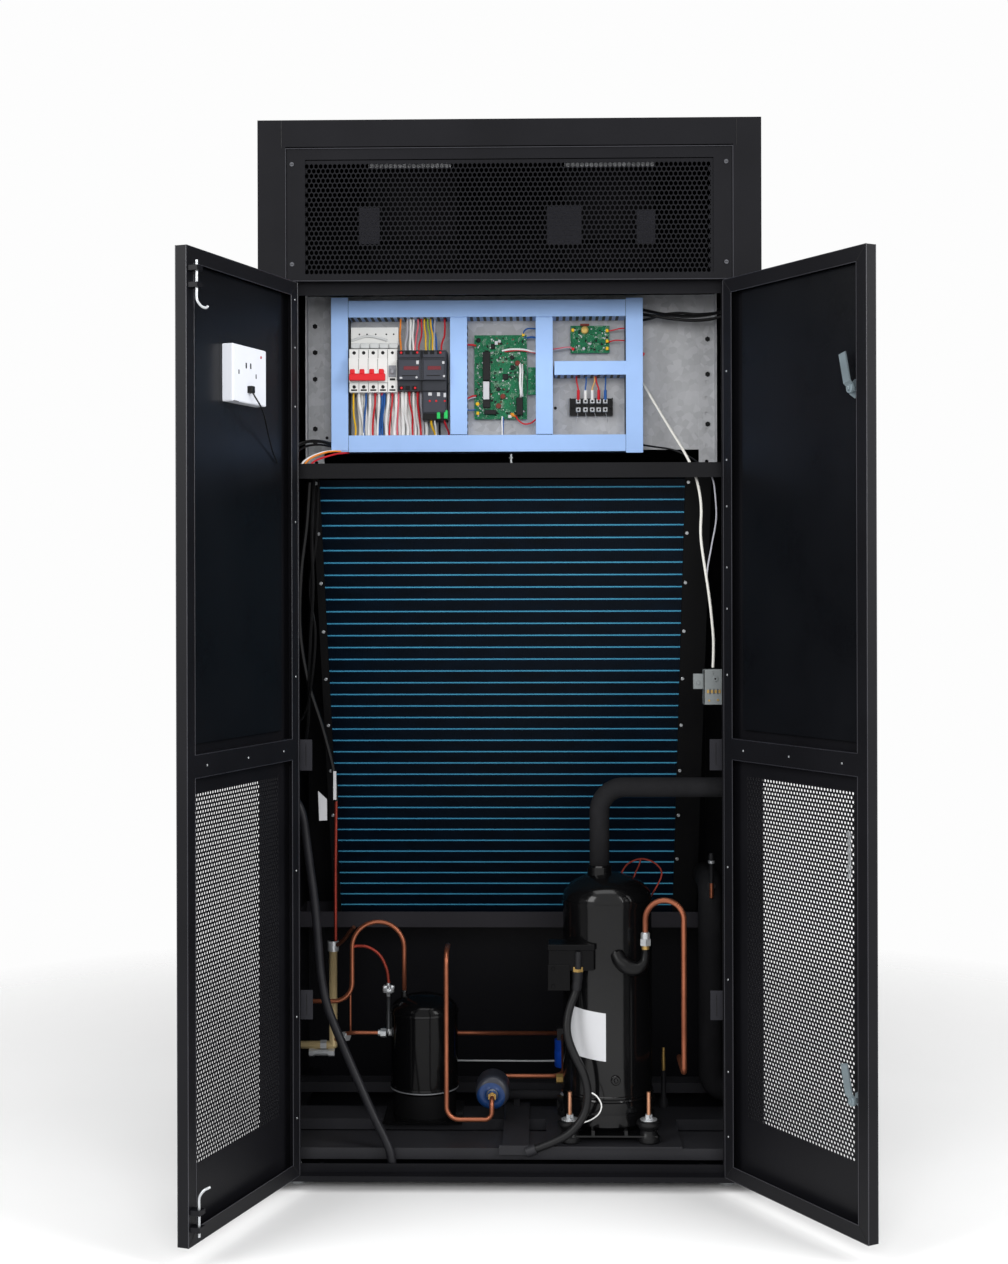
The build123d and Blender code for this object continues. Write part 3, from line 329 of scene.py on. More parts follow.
def smoothLine(points, steps=8):
    # Catmull-Rom curve: each stretch is the cubic of the four points round it
    points = np.array(points, float)
    padded = np.vstack([2 * points[0] - points[1], points, 2 * points[-1] - points[-2]])
    share = np.linspace(0, 1, steps, endpoint=False)[None, :, None]
    p0, p1, p2, p3 = [padded[i:len(padded) - 3 + i, None, :] for i in range(4)]
    curve = 0.5 * (2 * p1 + (p2 - p0) * share + (2 * p0 - 5 * p1 + 4 * p2 - p3) * share ** 2
                   + (3 * p1 - p0 - 3 * p2 + p3) * share ** 3)
    return np.vstack([curve.reshape(-1, 3), points[-1:]])


def pipe(line, radius, sides=10):
    # a circle carried along the line, square to its direction
    line = np.array(line, float)
    along = np.gradient(line, axis=0)
    along /= np.linalg.norm(along, axis=1, keepdims=True)
    guides = np.array([[0.31, 0.93, 0.2], [0.94, -0.2, 0.28], [0.12, -0.3, 0.95]])
    worst = np.abs(guides @ along.T).max(axis=1)
    side = np.cross(along, guides[worst.argmin()])
    side /= np.linalg.norm(side, axis=1, keepdims=True)
    other = np.cross(along, side)
    angle = np.linspace(0, 2 * pi, sides, endpoint=False)[None, :, None]
    width = np.broadcast_to(np.array(radius, float).reshape(-1, 1, 1), (len(line), 1, 1))
    rings = line[:, None, :] + width * (np.cos(angle) * side[:, None, :] + np.sin(angle) * other[:, None, :])
    return surface(rings)


def turned(profile, centre, axis=(0, 0, 1), sides=24):
    # a profile of (radius, height) pairs swept round the axis
    profile = np.array(profile, float)
    axis = np.array(axis, float) / np.linalg.norm(axis)
    guide = np.eye(3)[np.abs(axis).argmin()]
    side = np.cross(axis, guide)
    side /= np.linalg.norm(side)
    other = np.cross(axis, side)
    angle = np.linspace(0, 2 * pi, sides, endpoint=False)[None, :, None]
    wheel = np.cos(angle) * side + np.sin(angle) * other
    points = np.array(centre, float) + profile[:, 1, None, None] * axis + profile[:, 0, None, None] * wheel
    return surface(points)


def cornerBox():
    # the unit block with cut corners: each corner has a point on each of its three faces
    signs = np.array([[x, y, z] for x in (-1, 1) for y in (-1, 1) for z in (-1, 1)])
    owner = np.repeat(signs, 3, axis=0)
    onFace = np.tile(np.eye(3), (8, 1))
    faces = []
    for axis in range(3):
        for sign in (-1, 1):
            faces.append([corner * 3 + axis for corner in range(8) if signs[corner, axis] == sign])
    for first, second in ((0, 1), (0, 2), (1, 2)):
        for a in (-1, 1):
            for b in (-1, 1):
                pair = [c for c in range(8) if signs[c, first] == a and signs[c, second] == b]
                faces.append([pair[0] * 3 + first, pair[0] * 3 + second, pair[1] * 3 + first,
                              pair[1] * 3 + second])
    faces += [[corner * 3, corner * 3 + 1, corner * 3 + 2] for corner in range(8)]
    points = owner * (0.8 + 0.2 * onFace)
    return owner, onFace, [facingOut(face, points) for face in faces]


def facingOut(face, points):
    # the face's corners in order round its middle, seen from outside
    corners = points[face]
    middle = corners.mean(axis=0)
    normal = np.cross(corners[1] - corners[0], corners[2] - corners[0])
    normal *= np.sign(normal @ middle) or 1
    first = corners[0] - middle
    angles = np.arctan2(np.cross(first, corners - middle) @ normal / np.linalg.norm(normal),
                        (corners - middle) @ first)
    return [face[i] for i in np.argsort(angles)]


boxOwner, boxFace, boxFaces = cornerBox()


def blocks(rows, edge=0.4):
    # cut-cornered blocks from rows of low and high x, y and z
    rows = np.array(rows, float).reshape(-1, 6)
    low, high = rows[:, 0::2], rows[:, 1::2]
    middle, half = (low + high) / 2, (high - low) / 2
    cut = np.minimum(edge, 0.45 * half.min(axis=1))[:, None, None]
    points = middle[:, None, :] + boxOwner * (half[:, None, :] - cut * (1 - boxFace))
    faces = [[corner + 24 * i for corner in face] for i in range(len(rows)) for face in boxFaces]
    return points.reshape(-1, 3), faces


leftHinge = {"x": -397.5, "y": -352.5, "turn": radians(-109.2), "side": 1}
rightHinge = {"x": 397.5, "y": -352.5, "turn": radians(119.7), "side": -1}


def onDoor(shape, hinge):
    # a shape drawn on the shut door, x from the hinge and y into the cabinet, swung to where the door stands
    points, faces = shape
    flat = points * [hinge["side"], 1, 1]
    turn = hinge["turn"]
    spun = flat @ np.array([[cos(turn), sin(turn), 0], [-sin(turn), cos(turn), 0], [0, 0, 1]])
    if hinge["side"] < 0:
        faces = [face[::-1] for face in faces]
    return spun + [hinge["x"], hinge["y"], 0], faces


def addPiece(name, shapes, finish, body="cabinet", smooth=True, replaces=()):
    # one mesh of all the shapes, merged and with outward normals, that rides its body
    count = np.cumsum([0] + [len(points) for points, faces in shapes])
    points = np.vstack([points for points, faces in shapes]) * mm
    faces = [[i + start for i in face] for (_, part), start in zip(shapes, count.tolist()) for face in part]
    mesh = bpy.data.meshes.new(name)
    mesh.from_pydata(points.tolist(), [], faces)
    mesh.materials.append(finish)
    shell = bmesh.new()
    shell.from_mesh(mesh)
    bmesh.ops.remove_doubles(shell, verts=shell.verts, dist=1e-6)
    bmesh.ops.recalc_face_normals(shell, faces=shell.faces)
    shell.to_mesh(mesh)
    shell.free()
    if smooth:
        mesh.shade_smooth()
        mesh.set_sharp_from_angle(angle=radians(38))
    made = bpy.data.objects.new(name, mesh)
    bpy.context.scene.collection.objects.link(made)
    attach(made, body)
    if replaces:
        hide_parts(*replaces)
    return made


def dress(finish, *names):
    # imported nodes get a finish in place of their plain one
    for name in names:
        mesh = nodes[name].data
        mesh.materials.clear()
        mesh.materials.append(finish)


# Camera, lamps and floor
print("camera and lamps")
view = {
    "place": (0.0542, -3.656, 1.058), "yaw": 1.12, "roll": -0.15, "lens": 52.73, "shiftY": -0.0332,
    "sensor": 36, "floor": -0.02, "floorReach": 9, "worldLight": 0.45,
}


def setCamera():
    # level camera with a shifted lens, as in the photo
    camera = bpy.data.cameras.new("camera")
    camera.lens = view["lens"]
    camera.sensor_width = view["sensor"]
    camera.shift_y = view["shiftY"]
    made = bpy.data.objects.new("camera", camera)
    bpy.context.scene.collection.objects.link(made)
    turn = Matrix.Rotation(radians(view["yaw"]), 4, "Z") @ Matrix.Rotation(radians(90), 4, "X")
    made.matrix_world = Matrix.Translation(view["place"]) @ turn @ Matrix.Rotation(radians(view["roll"]),
                                                                                   4, "Z")
    bpy.context.scene.camera = made
    bpy.context.scene.view_settings.view_transform = "Standard"


def addLamp(name, place, aim, size, power, mirrored=True):
    # a rectangular lamp turned towards its aim, seen in shiny surfaces only if mirrored
    lamp = bpy.data.lights.new(name, "AREA")
    lamp.shape = "RECTANGLE"
    lamp.size, lamp.size_y = size
    lamp.energy = power
    made = bpy.data.objects.new(name, lamp)
    made.visible_glossy = mirrored
    bpy.context.scene.collection.objects.link(made)
    away = Matrix.Translation(place).translation - Matrix.Translation(aim).translation
    made.matrix_world = Matrix.Translation(place) @ away.to_track_quat("Z", "Y").to_matrix().to_4x4()


def setWorld():
    # white all round: at full strength where it is seen, mirrored or looked through, weaker as a light
    world = bpy.data.worlds.new("studio")
    bpy.context.scene.world = world
    world.use_nodes = True
    tree = world.node_tree
    lit = tree.nodes["Background"]
    lit.inputs["Color"].default_value = (1, 1, 1, 1)
    lit.inputs["Strength"].default_value = view["worldLight"]
    plain = tree.nodes.new("ShaderNodeBackground")
    plain.inputs["Color"].default_value = rgb(253, 253, 253)
    plain.inputs["Strength"].default_value = 1.0
    path = tree.nodes.new("ShaderNodeLightPath")
    share = path.outputs["Is Camera Ray"]
    for ray in ("Is Glossy Ray", "Is Transmission Ray"):
        either = tree.nodes.new("ShaderNodeMath")
        either.operation = "MAXIMUM"
        tree.links.new(share, either.inputs[0])
        tree.links.new(path.outputs[ray], either.inputs[1])
        share = either.outputs[0]
    pick = tree.nodes.new("ShaderNodeMixShader")
    for socket, source in zip(pick.inputs, (share, lit.outputs[0], plain.outputs[0])):
        tree.links.new(source, socket)
    tree.links.new(pick.outputs[0], tree.nodes["World Output"].inputs["Surface"])


def setFloor():
    # a pale floor that keeps the shadows and fades into the backdrop
    reach = view["floorReach"]
    corners = [(x, y, view["floor"]) for x, y in ((-reach, -reach), (reach, -reach), (reach, reach),
                                                  (-reach, reach))]
    mesh = bpy.data.meshes.new("floor")
    mesh.from_pydata(corners, [], [[0, 1, 2, 3]])
    floor = Finish("paleFloor")
    grain = floor.noise(3, 2)
    floor.set("Base Color", floor.mix(grain, rgb(247, 247, 247), rgb(250, 250, 250)))
    floor.set("Roughness", 0.8)
    x, y = floor.axis("X"), floor.axis("Y")
    floor.set("Alpha", 1 - floor.ramp((x * x + y * y) / 6, 0.17, 0.8))
    mesh.materials.append(floor.material)
    made = bpy.data.objects.new("floor", mesh)
    bpy.context.scene.collection.objects.link(made)


setCamera()
setWorld()
setFloor()
addLamp("leftSoftbox", (-2.6, -2.6, 2.3), (-0.1, 0, 1.0), (1.6, 2.4), 75)
addLamp("rightSoftbox", (2.8, -2.4, 2.2), (0.1, 0, 1.0), (1.6, 2.4), 85)
addLamp("frontSoftbox", (0.1, -4.4, 1.8), (0, 0, 1.1), (2.4, 1.2), 104, mirrored=False)
addLamp("topSoftbox", (0, -0.6, 4.2), (0, -0.3, 0), (3.0, 2.4), 48)

# Free cords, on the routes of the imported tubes
print("cords")
cords = {
    "drainHose": {
        "node": "drain_hose", "width": 16, "length": 760, "stiffness": "medium",
        "route": [
            (-446, -270, 690), (-417, -270, 690), (-392, -270, 672), (-381, -269, 644), (-376, -268, 600),
            (-368, -267, 540), (-360, -267, 480), (-355, -267, 420), (-351, -268, 360), (-341, -269, 302),
            (-320, -272, 250), (-297, -276, 198), (-273, -283, 146), (-249, -297, 98), (-227, -309, 61),
            (-216, -312, 34), (-216, -312, 12),
        ],
    },
    "compressorCable": {
        "node": "compressor_cable", "width": 15, "length": 372, "stiffness": "medium",
        "route": [
            (120, -258.2, 348), (120, -258.2, 324), (104, -272, 292), (99, -284, 252), (112, -290, 216),
            (132, -295, 180), (140, -299, 142), (132, -304, 106), (108, -309, 77), (74, -310, 58.8),
            (44, -306.8, 47.1),
        ],
    },
    "switchLead": {
        "node": "switch_lead", "width": 5, "length": 595, "stiffness": "limp",
        "route": [
            (249.5, -150, 1448), (271, -186, 1404), (297, -226, 1352), (321, -264, 1306), (339, -288, 1262),
            (348, -292, 1208), (344, -293, 1160), (351, -293, 1108), (360, -292, 1052), (366, -289, 1000),
            (370, -283, 956), (368, -280, 916.2),
        ],
    },
}


def addCord(name, finish, values):
    # a smooth NURBS line with the route's points as its control points and a round section
    curve = bpy.data.curves.new(name, "CURVE")
    curve.dimensions = "3D"
    line = curve.splines.new("NURBS")
    line.points.add(len(values["route"]) - 1)
    for point, (x, y, z) in zip(line.points, values["route"]):
        point.co = (x * mm, y * mm, z * mm, 1)
    line.order_u = 3
    line.use_endpoint_u = True
    line.resolution_u = 8
    curve.bevel_depth = values["width"] / 2 * mm
    curve.bevel_resolution = 4
    curve.use_fill_caps = True
    curve.materials.append(finish)
    made = bpy.data.objects.new(name, curve)
    bpy.context.scene.collection.objects.link(made)
    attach(made, "cabinet")
    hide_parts(values["node"])
    start = [value * mm for value in values["route"][0]]


addCord("drainHose", rubberFinish("hoseRubber", rgb(24, 24, 27), 0.42), cords["drainHose"])
addCord("compressorCable", rubberFinish("cableSheath", rgb(22, 22, 23), 0.4), cords["compressorCable"])
addCord("switchLead", plasticFinish("leadSheath", rgb(216, 214, 208), 0.45), cords["switchLead"])

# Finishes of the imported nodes
print("finishes")
# glow and edge are the widths of the painted glow and of the painted highlight lines along the tube rows
finPack = {"tilt": 22.6, "pitch": 0.0254, "shift": 0.374, "finsPerMetre": 300, "glow": 0.105, "edge": 0.047}
black = coatFinish("blackCoat", rgb(17, 17, 20), 0.44)
innerBlack = coatFinish("innerBlackCoat", rgb(13, 13, 14), 0.5, gloss=0.1)
linerBlack = coatFinish("linerCoat", rgb(12, 13, 16), 0.3, depth=0.00003, gloss=0.2)
galvanised = galvanisedFinish("galvanisedSheet")
zinc = platedFinish("brightZinc")
copper = copperFinish("drawnCopper")
brass = platedFinish("brassFitting", rgb(190, 156, 92), 0.3)
enamel = enamelFinish("blackEnamel", rgb(10, 10, 11))
foam = foamFinish("foamInsulation")
rubber = rubberFinish("blackRubber")
ductBlue = plasticFinish("ductBlue", rgb(160, 192, 240), 0.5)
whitePlastic = plasticFinish("whitePlastic", rgb(226, 226, 224), 0.38)
greyPlastic = plasticFinish("darkGreyPlastic", rgb(46, 48, 54), 0.45)
blackPlastic = plasticFinish("blackPlastic", rgb(20, 20, 21), 0.4)
board = boardFinish("circuitBoard")

dress(black, "base_frame", "front_post_left", "front_post_right", "side_panel_left", "side_panel_right",
      "back_panel",
      "top_cover", "top_rail", "door_header", "grille_panel", "left_door_panel", "right_door_panel",
      "flush_bolt_guides")
dress(innerBlack, "coil_end_plates")
dress(coatFinish("channelCoat", rgb(38, 38, 41), 0.42, gloss=0.2), "base_channels", "compressor_base_plate")
dress(coatFinish("panCoat", rgb(40, 39, 43), 0.4), "drain_pan")
dress(coatFinish("trayCoat", rgb(20, 20, 22), 0.4), "electrical_tray")
dress(linerBlack, "left_door_liner", "right_door_liner")
dress(galvanised, "mounting_plate", "slotted_angles")
dress(coatFinish("deckCoat", rgb(6, 6, 7), 0.6, gloss=0.05), "fan_deck", "blower_housings")
latchZinc = platedFinish("latchZinc", rgb(138, 152, 158), 0.34, 0.5)
dress(zinc, "levelling_feet", "door_switch", "upper_flush_bolt", "lower_flush_bolt")
dress(latchZinc, "latch_housings", "upper_cam_latch", "lower_cam_latch")
dress(copper, "receiver_pipe", "liquid_line", "discharge_line")
boxCoat = coatFinish("boxCoat", rgb(7, 7, 8), 0.34, gloss=0.1)
dress(enamel, "compressor", "liquid_receiver")
dress(boxCoat, "compressor_terminal_box")
dress(foam, "suction_line", "wall_pipes")
dress(ductBlue, "wiring_ducts")
dress(whitePlastic, "circuit_breaker", "neutral_terminals")
dress(plasticFinish("controllerShell", rgb(228, 231, 239), 0.38, mottle=0.03), "controller_box")
dress(greyPlastic, "contactors")
dress(blackPlastic, "terminal_strip")
dress(board, "main_circuit_board")
dress(finFinish("blueFins", finPack), "evaporator_coil")


def banded(name, layers, split, rough):
    # one tube or stack of parts with a finish for each band, split by a mask of the piece's own place
    finish = Finish(name)
    grime = finish.noise(34, 4)
    fine = finish.noise(420, 2)
    tone, metal = None, None
    for mask, colour, shine in [(None, *layers[0])] + [(split(finish, n), *layer) for n,
                                                       layer in enumerate(layers[1:])]:
        cloudy = finish.mix(grime, scaled(colour, 0.72), scaled(colour, 1.15))
        tone = cloudy if mask is None else finish.mix(mask, tone, cloudy)
        metal = shine if mask is None else metal + mask * (shine - metal)
    finish.set("Base Color", tone)
    finish.set("Metallic", metal)
    finish.set("Roughness", rough + 0.2 * (grime - 0.4) + 0.1 * (fine - 0.5))
    finish.bump(fine, 0.00004)
    return finish.material


zincTone, brassTone = rgb(200, 203, 206), rgb(206, 184, 138)


bands = {
    "valve": (0.209, 0.272), "tubeTop": 0.3495, "grommet": 0.0617, "stud": 0.0905, "coil": 0.1475,
    "drier": {"x": -0.041, "z": 0.106, "y": -0.166, "reach": 0.02646},
}


def valveSplit(finish, n):
    z = finish.axis("Z")
    return (z > bands["valve"][0]) * (z < bands["valve"][1])


def brassSplit(finish, n):
    return finish.axis("Z") > bands["tubeTop"]


def mountSplit(finish, n):
    z = finish.axis("Z")
    return (z < bands["grommet"]) * 1.0 if n == 0 else z > bands["stud"]


def drierSplit(finish, n):
    # the round face at the drier's front end
    face = bands["drier"]
    away = finish.axis("X") - face["x"]
    up = finish.axis("Z") - face["z"]
    return (away * away + up * up < face["reach"] ** 2) * (finish.axis("Y") < face["y"])


def coilSplit(finish, n):
    return finish.axis("Z") < bands["coil"]


dress(banded("valveStem", [(zincTone, 0.6), (rgb(60, 62, 64), 0.1)], valveSplit, 0.3), "service_valve")
dress(banded("paleBrass", [(brassTone, 0.4), (zincTone, 0.6)], brassSplit, 0.3), "charging_tube")
dress(banded("mountStack", [(zincTone, 0.6), (rgb(26, 26, 27), 0.0), (rgb(206, 150, 118), 0.9)],
             mountSplit, 0.3), "compressor_mounts")
dress(banded("drierShell", [(rgb(46, 48, 56), 0.1), (rgb(20, 52, 100), 0.1)], drierSplit, 0.32),
      "filter_drier")
dress(banded("valveCoil", [(rgb(30, 30, 32), 0.2), (rgb(18, 66, 168), 0.0)], coilSplit, 0.34),
      "solenoid_valve")
dress(board, "relay_board")


def smoothCopy(name, swell):
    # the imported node's own mesh, merged, shaded round and pushed out along its normals by the swell
    mesh = nodes[name].data.copy()
    shell = bmesh.new()
    shell.from_mesh(mesh)
    bmesh.ops.remove_doubles(shell, verts=shell.verts, dist=1e-6)
    shell.to_mesh(mesh)
    shell.free()
    places, ways = np.empty(3 * len(mesh.vertices)), np.empty(3 * len(mesh.vertices))
    mesh.vertices.foreach_get("co", places)
    mesh.vertices.foreach_get("normal", ways)
    mesh.vertices.foreach_set("co", places + swell * mm * ways)
    mesh.shade_smooth()
    mesh.set_sharp_from_angle(angle=radians(40))
    made = bpy.data.objects.new(name + "Round", mesh)
    bpy.context.scene.collection.objects.link(made)
    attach(made, "cabinet")
    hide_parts(name)


swells = {
    "filter_drier": 0, "suction_line": 0, "wall_pipes": 0, "charging_tube": 0, "service_valve": 0,
    "receiver_pipe": 0.4, "liquid_line": 0.5,
}
for name, swell in swells.items():
    smoothCopy(name, swell)

# Perforated sheets
print("perforated sheets")
sheets = {
    "grille": {"x": (-366, 365), "z": (1624, 1829), "pitch": (8.35, 8.6), "web": 1.9, "y": -347.4,
               "thick": 1.0, "rim": 6},
    "door": {"x": (45, 345), "z": (130, 733), "pitch": (8.15, 7.06), "web": 3.3, "y": 2.6, "thick": 1.0,
             "rim": 6},
}


def hexSheet(values):
    # upright hexagon cells in staggered rows, each a ring between the cell's edge and its hole
    (x0, x1), (z0, z1) = values["x"], values["z"]
    across, up = values["pitch"]
    columns = int((x1 - x0) / across)
    rowCount = int((z1 - z0) / up)
    row, column = [grid.ravel() for grid in np.meshgrid(np.arange(rowCount), np.arange(columns),
                                                        indexing="ij")]
    keep = (row % 2 == 0) | (column < columns - 1)
    row, column = row[keep], column[keep]
    centreX = x0 + across * (column + 0.5 + 0.5 * (row % 2))
    centreZ = z0 + up * (row + 0.5)
    corner = np.array([[0, 2 / 3], [-0.5, 1 / 3], [-0.5, -1 / 3], [0, -2 / 3], [0.5, -1 / 3],
                       [0.5, 1 / 3]]) * [across, up]
    hole = corner * (1 - values["web"] / across)
    centre = np.stack([centreX, centreZ], -1)[:, None, :]
    outer = centre + corner
    inner = centre + hole
    first, last = column == 0, column == np.where(row % 2 == 0, columns - 1, columns - 2)
    outer[first, 1:3, 0] = x0
    outer[np.ix_(last, [4, 5])] = np.stack([np.full((last.sum(), 2), x0 + across * columns),
                                            outer[last][:, 4:6, 1]], -1)
    top, bottom = row == rowCount - 1, row == 0
    outer[np.ix_(top, [0, 1, 5], [1])] = z0 + up * rowCount
    outer[np.ix_(bottom, [2, 3, 4], [1])] = z0
    near, far = values["y"], values["y"] + values["thick"]
    loops = []
    for flat, depth in ((outer, near), (inner, near), (inner, far), (outer, far)):
        loops.append(np.stack([flat[..., 0], np.full(flat.shape[:2], depth), flat[..., 1]], -1))
    points = np.stack(loops, 1)
    index = np.arange(points[..., 0].size).reshape(points.shape[:3])
    ahead = np.roll(index, -1, axis=2)
    quads = np.stack([index[:, :-1], ahead[:, :-1], ahead[:, 1:], index[:, 1:]], -1).reshape(-1, 4)
    rim = values["rim"]
    right, high = x0 + across * columns, z0 + up * rowCount
    border = blocks([
        (x0 - rim, x0, near, far, z0 - rim, high + rim),
        (right, right + rim, near, far, z0 - rim, high + rim),
        (x0, right, near, far, z0 - rim, z0), (x0, right, near, far, high, high + rim),
    ], 0.1)
    return [(points.reshape(-1, 3), quads.tolist()), border]


addPiece("grilleSheet", hexSheet(sheets["grille"]), black, smooth=False,
         replaces=("grille_mesh",))
for side, hinge in (("left", leftHinge), ("right", rightHinge)):
    shapes = [onDoor(shape, hinge) for shape in hexSheet(sheets["door"])]
    addPiece(side + "DoorSheet", shapes, black, side + "_door", False,
             (side + "_door_mesh",))

# Small turned parts, bent sheets and wires


def disc(centre, radius, height, axis=(0, -1, 0), sides=16, rim=0.5):
    # a flat-headed turned part that stands on its centre along the axis
    rim = min(rim, radius / 3, height / 2)
    return turned([(radius, 0), (radius, height - rim), (radius - rim, height)], centre, axis, sides)


def discs(places, radius, height, axis=(0, -1, 0), sides=12):
    return [disc(place, radius, height, axis, sides) for place in places]


def wrapped(angles, heights, radius, thick, centre, slope=0):
    # a sheet bent round an upright shell: x = r sin(a), y = -r cos(a), z rises with height and slopes with a
    first, last = radians(angles[0]), radians(angles[1])
    out = np.linspace(first, last, 20)
    angle = np.concatenate([out, out[::-1]])[None, :]
    reach = np.repeat([radius + thick, radius], 20)[None, :]
    z = np.linspace(*heights, 8)[:, None] + slope * (angle - first)
    x = centre[0] + reach * np.sin(angle) + 0 * z
    y = centre[1] - reach * np.cos(angle) + 0 * z
    return surface(np.stack([x, y, z], -1))


def star(centre, inner, lobe, count, height):
    # a hand knob: radius = inner + lobe cos(count a), squashed towards its top and bottom edge
    angle = np.linspace(0, 2 * pi, count * 12, endpoint=False)[None, :]
    share = np.array([0.86, 1, 1, 0.86])[:, None]
    reach = (inner + lobe * np.cos(count * angle)) * share
    z = centre[2] + np.array([0, 0.2, 0.8, 1])[:, None] * height + 0 * angle
    points = np.stack([centre[0] + reach * np.cos(angle), centre[1] + reach * np.sin(angle), z], -1)
    return surface(points)


def scatter(seed, xs, zs, count, face, sizes=(1.6, 4.6), deep=(0.8, 2.6)):
    # small blocks spread over a board's face, the same on each run
    pick = np.random.default_rng(seed)
    x, z = pick.uniform(*xs, count), pick.uniform(*zs, count)
    width, height = pick.uniform(*sizes, count) / 2, pick.uniform(*sizes, count) / 2
    front = face - pick.uniform(*deep, count)
    return blocks(np.stack([x - width, x + width, front, 0 * x + face + 0.3, z - height, z + height], 1),
                  0.25)


tones = {
    "yellow": rgb(238, 190, 42), "white": rgb(236, 236, 234), "blue": rgb(44, 92, 160),
    "red": rgb(200, 40, 50),
    "pink": rgb(222, 104, 118), "orange": rgb(236, 140, 48), "green": rgb(150, 176, 60),
    "grey": rgb(176, 176, 184),
    "black": rgb(11, 11, 12), "tan": rgb(214, 172, 110),
}
sheaths = {tone: plasticFinish(tone + "Sheath", value, 0.36, mottle=0.12) for tone, value in tones.items()}
marks = plasticFinish("darkMark", rgb(12, 12, 13), 0.5)
paper = plasticFinish("bareLabel", rgb(198, 199, 202), 0.55, mottle=0.03)
redPlastic = plasticFinish("redPlastic", rgb(214, 34, 42), 0.3, mottle=0.1)
greenPlastic = plasticFinish("greenPlastic", rgb(46, 190, 96), 0.35, mottle=0.1)
slatePlastic = plasticFinish("slatePlastic", rgb(58, 60, 68), 0.42, mottle=0.1)
dullRed = plasticFinish("dullRedWindow", rgb(104, 40, 46), 0.35, mottle=0.3)
oxideRed = copperFinish("redCopper", rgb(168, 66, 54), 0.34)


def addWires(name, runs, body="cabinet", sides=7):
    # one piece for each sheath colour in the bundle
    for tone in sorted({run[0] for run in runs}):
        shapes = [pipe(smoothLine(points, 6), radius, sides) for hue, radius, points in runs if hue == tone]
        addPiece(name + tone.capitalize(), shapes, sheaths[tone], body)


def hanging(rows, top, bottom, depths, seed):
    # wires that sag and cross a little between two levels
    pick = np.random.default_rng(seed)
    runs = []
    for tone, radius, x0, x1, start in rows:
        high = start or top
        fall = high - bottom
        sway = pick.uniform(-2.6, 2.6, 2)
        y0, y1 = depths
        lean = pick.uniform(-5, 5)
        points = [(x0, y0, high + 3), (x0 + sway[0] * 0.4, y0 + lean * 0.4, high - 0.25 * fall),
                  ((x0 + x1) / 2 + sway[0], (y0 + y1) / 2 + lean, high - 0.52 * fall),
                  (x1 + sway[1] * 0.6, y1 + lean * 0.5, high - 0.8 * fall), (x1, y1, bottom - 3)]
        runs.append((tone, radius, points))
    return runs


# Electrical bay
print("electrical bay")
ductWork = {
    "lids": [
        (-338, -306, 1321, 1609), (216, 248, 1315, 1606), (-305.5, 215.5, 1318, 1349.5),
        (-305.5, 215.5, 1571.5, 1603),
        (-114, -82, 1350.5, 1570.5), (47, 79, 1350.5, 1570.5), (82, 216.5, 1461.5, 1487.5),
    ],
    "pitch": 12.5, "slot": 5.2,
}
addPiece("ductLids", [blocks([(x0, x1, -180, -177.6, z0, z1) for x0, x1, z0, z1 in ductWork["lids"]], 0.7)],
         ductBlue, smooth=False)


def ductSlots():
    pitch, wide = ductWork["pitch"], ductWork["slot"]
    across = [x for x in np.arange(-302, 210, pitch) if not -116 < x < -81 and not 44 < x < 80]
    rows = [(x, x + wide, -173, -126, 1570.9, 1572.6) for x in across]
    rows += [(x, x + wide, -173, -126, 1348.6, 1349.9) for x in across]
    rows += [(x, x + wide, -173, -126, 1461.2, 1462.6) for x in np.arange(88, 208, pitch)]
    for face in (-306.9, -82.9):
        rows += [(face - 0.8, face + 0.6, -173, -126, z, z + wide) for z in np.arange(1354, 1566, pitch)]
    rows += [(216.3, 217.6, -173, -126, z, z + wide) for z in np.arange(1354, 1566, pitch)]
    return blocks(rows, 0.1)


# thin dark strips where the ducts meet and at the ends of the middle ducts: painted shade in the gaps
# between the duct lids
addPiece("ductJunctionShade", [blocks([(-113, -83, -178, -130, 1349.4, 1351.2), (48, 78, -178, -130, 1349.4, 1351.2),
                             (-306, -305.2, -179.4, -130, 1320, 1602),
                              (215.4, 216.2, -179.4, -130, 1320, 1602)], 0.1)],
         marks, smooth=False)
addPiece("ductSlots", [ductSlots()], marks, smooth=False)

breaker = {"left": -303, "pole": 18, "face": -185.5, "nose": -193.5,
           "toggles": (-295.6, -277.6, -259.4, -241.4)}
poleEdges = [breaker["left"] + breaker["pole"] * n for n in (1, 2, 3)]
screwXs = [x + 9 for x in (-303, -285, -267, -249)]
addPiece("breakerBar", [
    blocks([(-301.5, -234, -207, -199, 1449.5, 1463)], 1.4),
    blocks([(x - 4.6, x + 4.6, -205, -192, 1461, 1471.5) for x in breaker["toggles"]], 1.2),
], redPlastic)
addPiece("breakerMarks", [
    blocks([(x - 0.35, x + 0.35, -186.1, -184, 1431, 1510) for x in poleEdges + [-231]]
           + [(x - 0.3, x + 0.3, -194, -193, 1449, 1492) for x in poleEdges]
           + [(x - 5.6, x + 5.6, -186.3, -184, 1432.5, 1435.5) for x in screwXs + [-222]]
           + [(-227, -217, -186.4, -184, 1452, 1456)], 0.1),
    *discs([(x, -185, 1504) for x in screwXs] + [(x, -185, 1440) for x in screwXs], 3.4, 1.2),
    *discs([(-222, -185, 1504), (-222, -185, 1440)], 2.8, 1.2),
    *discs([(x, -153.4, 1543) for x in (-287, -272.5, -256, -236, -222)], 1.7, 1),
], marks, smooth=False)
addPiece("auxToggle", [blocks([(-225.5, -218.5, -193, -185, 1464, 1473)], 1),
                       blocks([(-229, -215, -187.5, -185, 1458, 1480)], 0.8)],
         plasticFinish("greyToggle", rgb(138, 140, 146), 0.4))
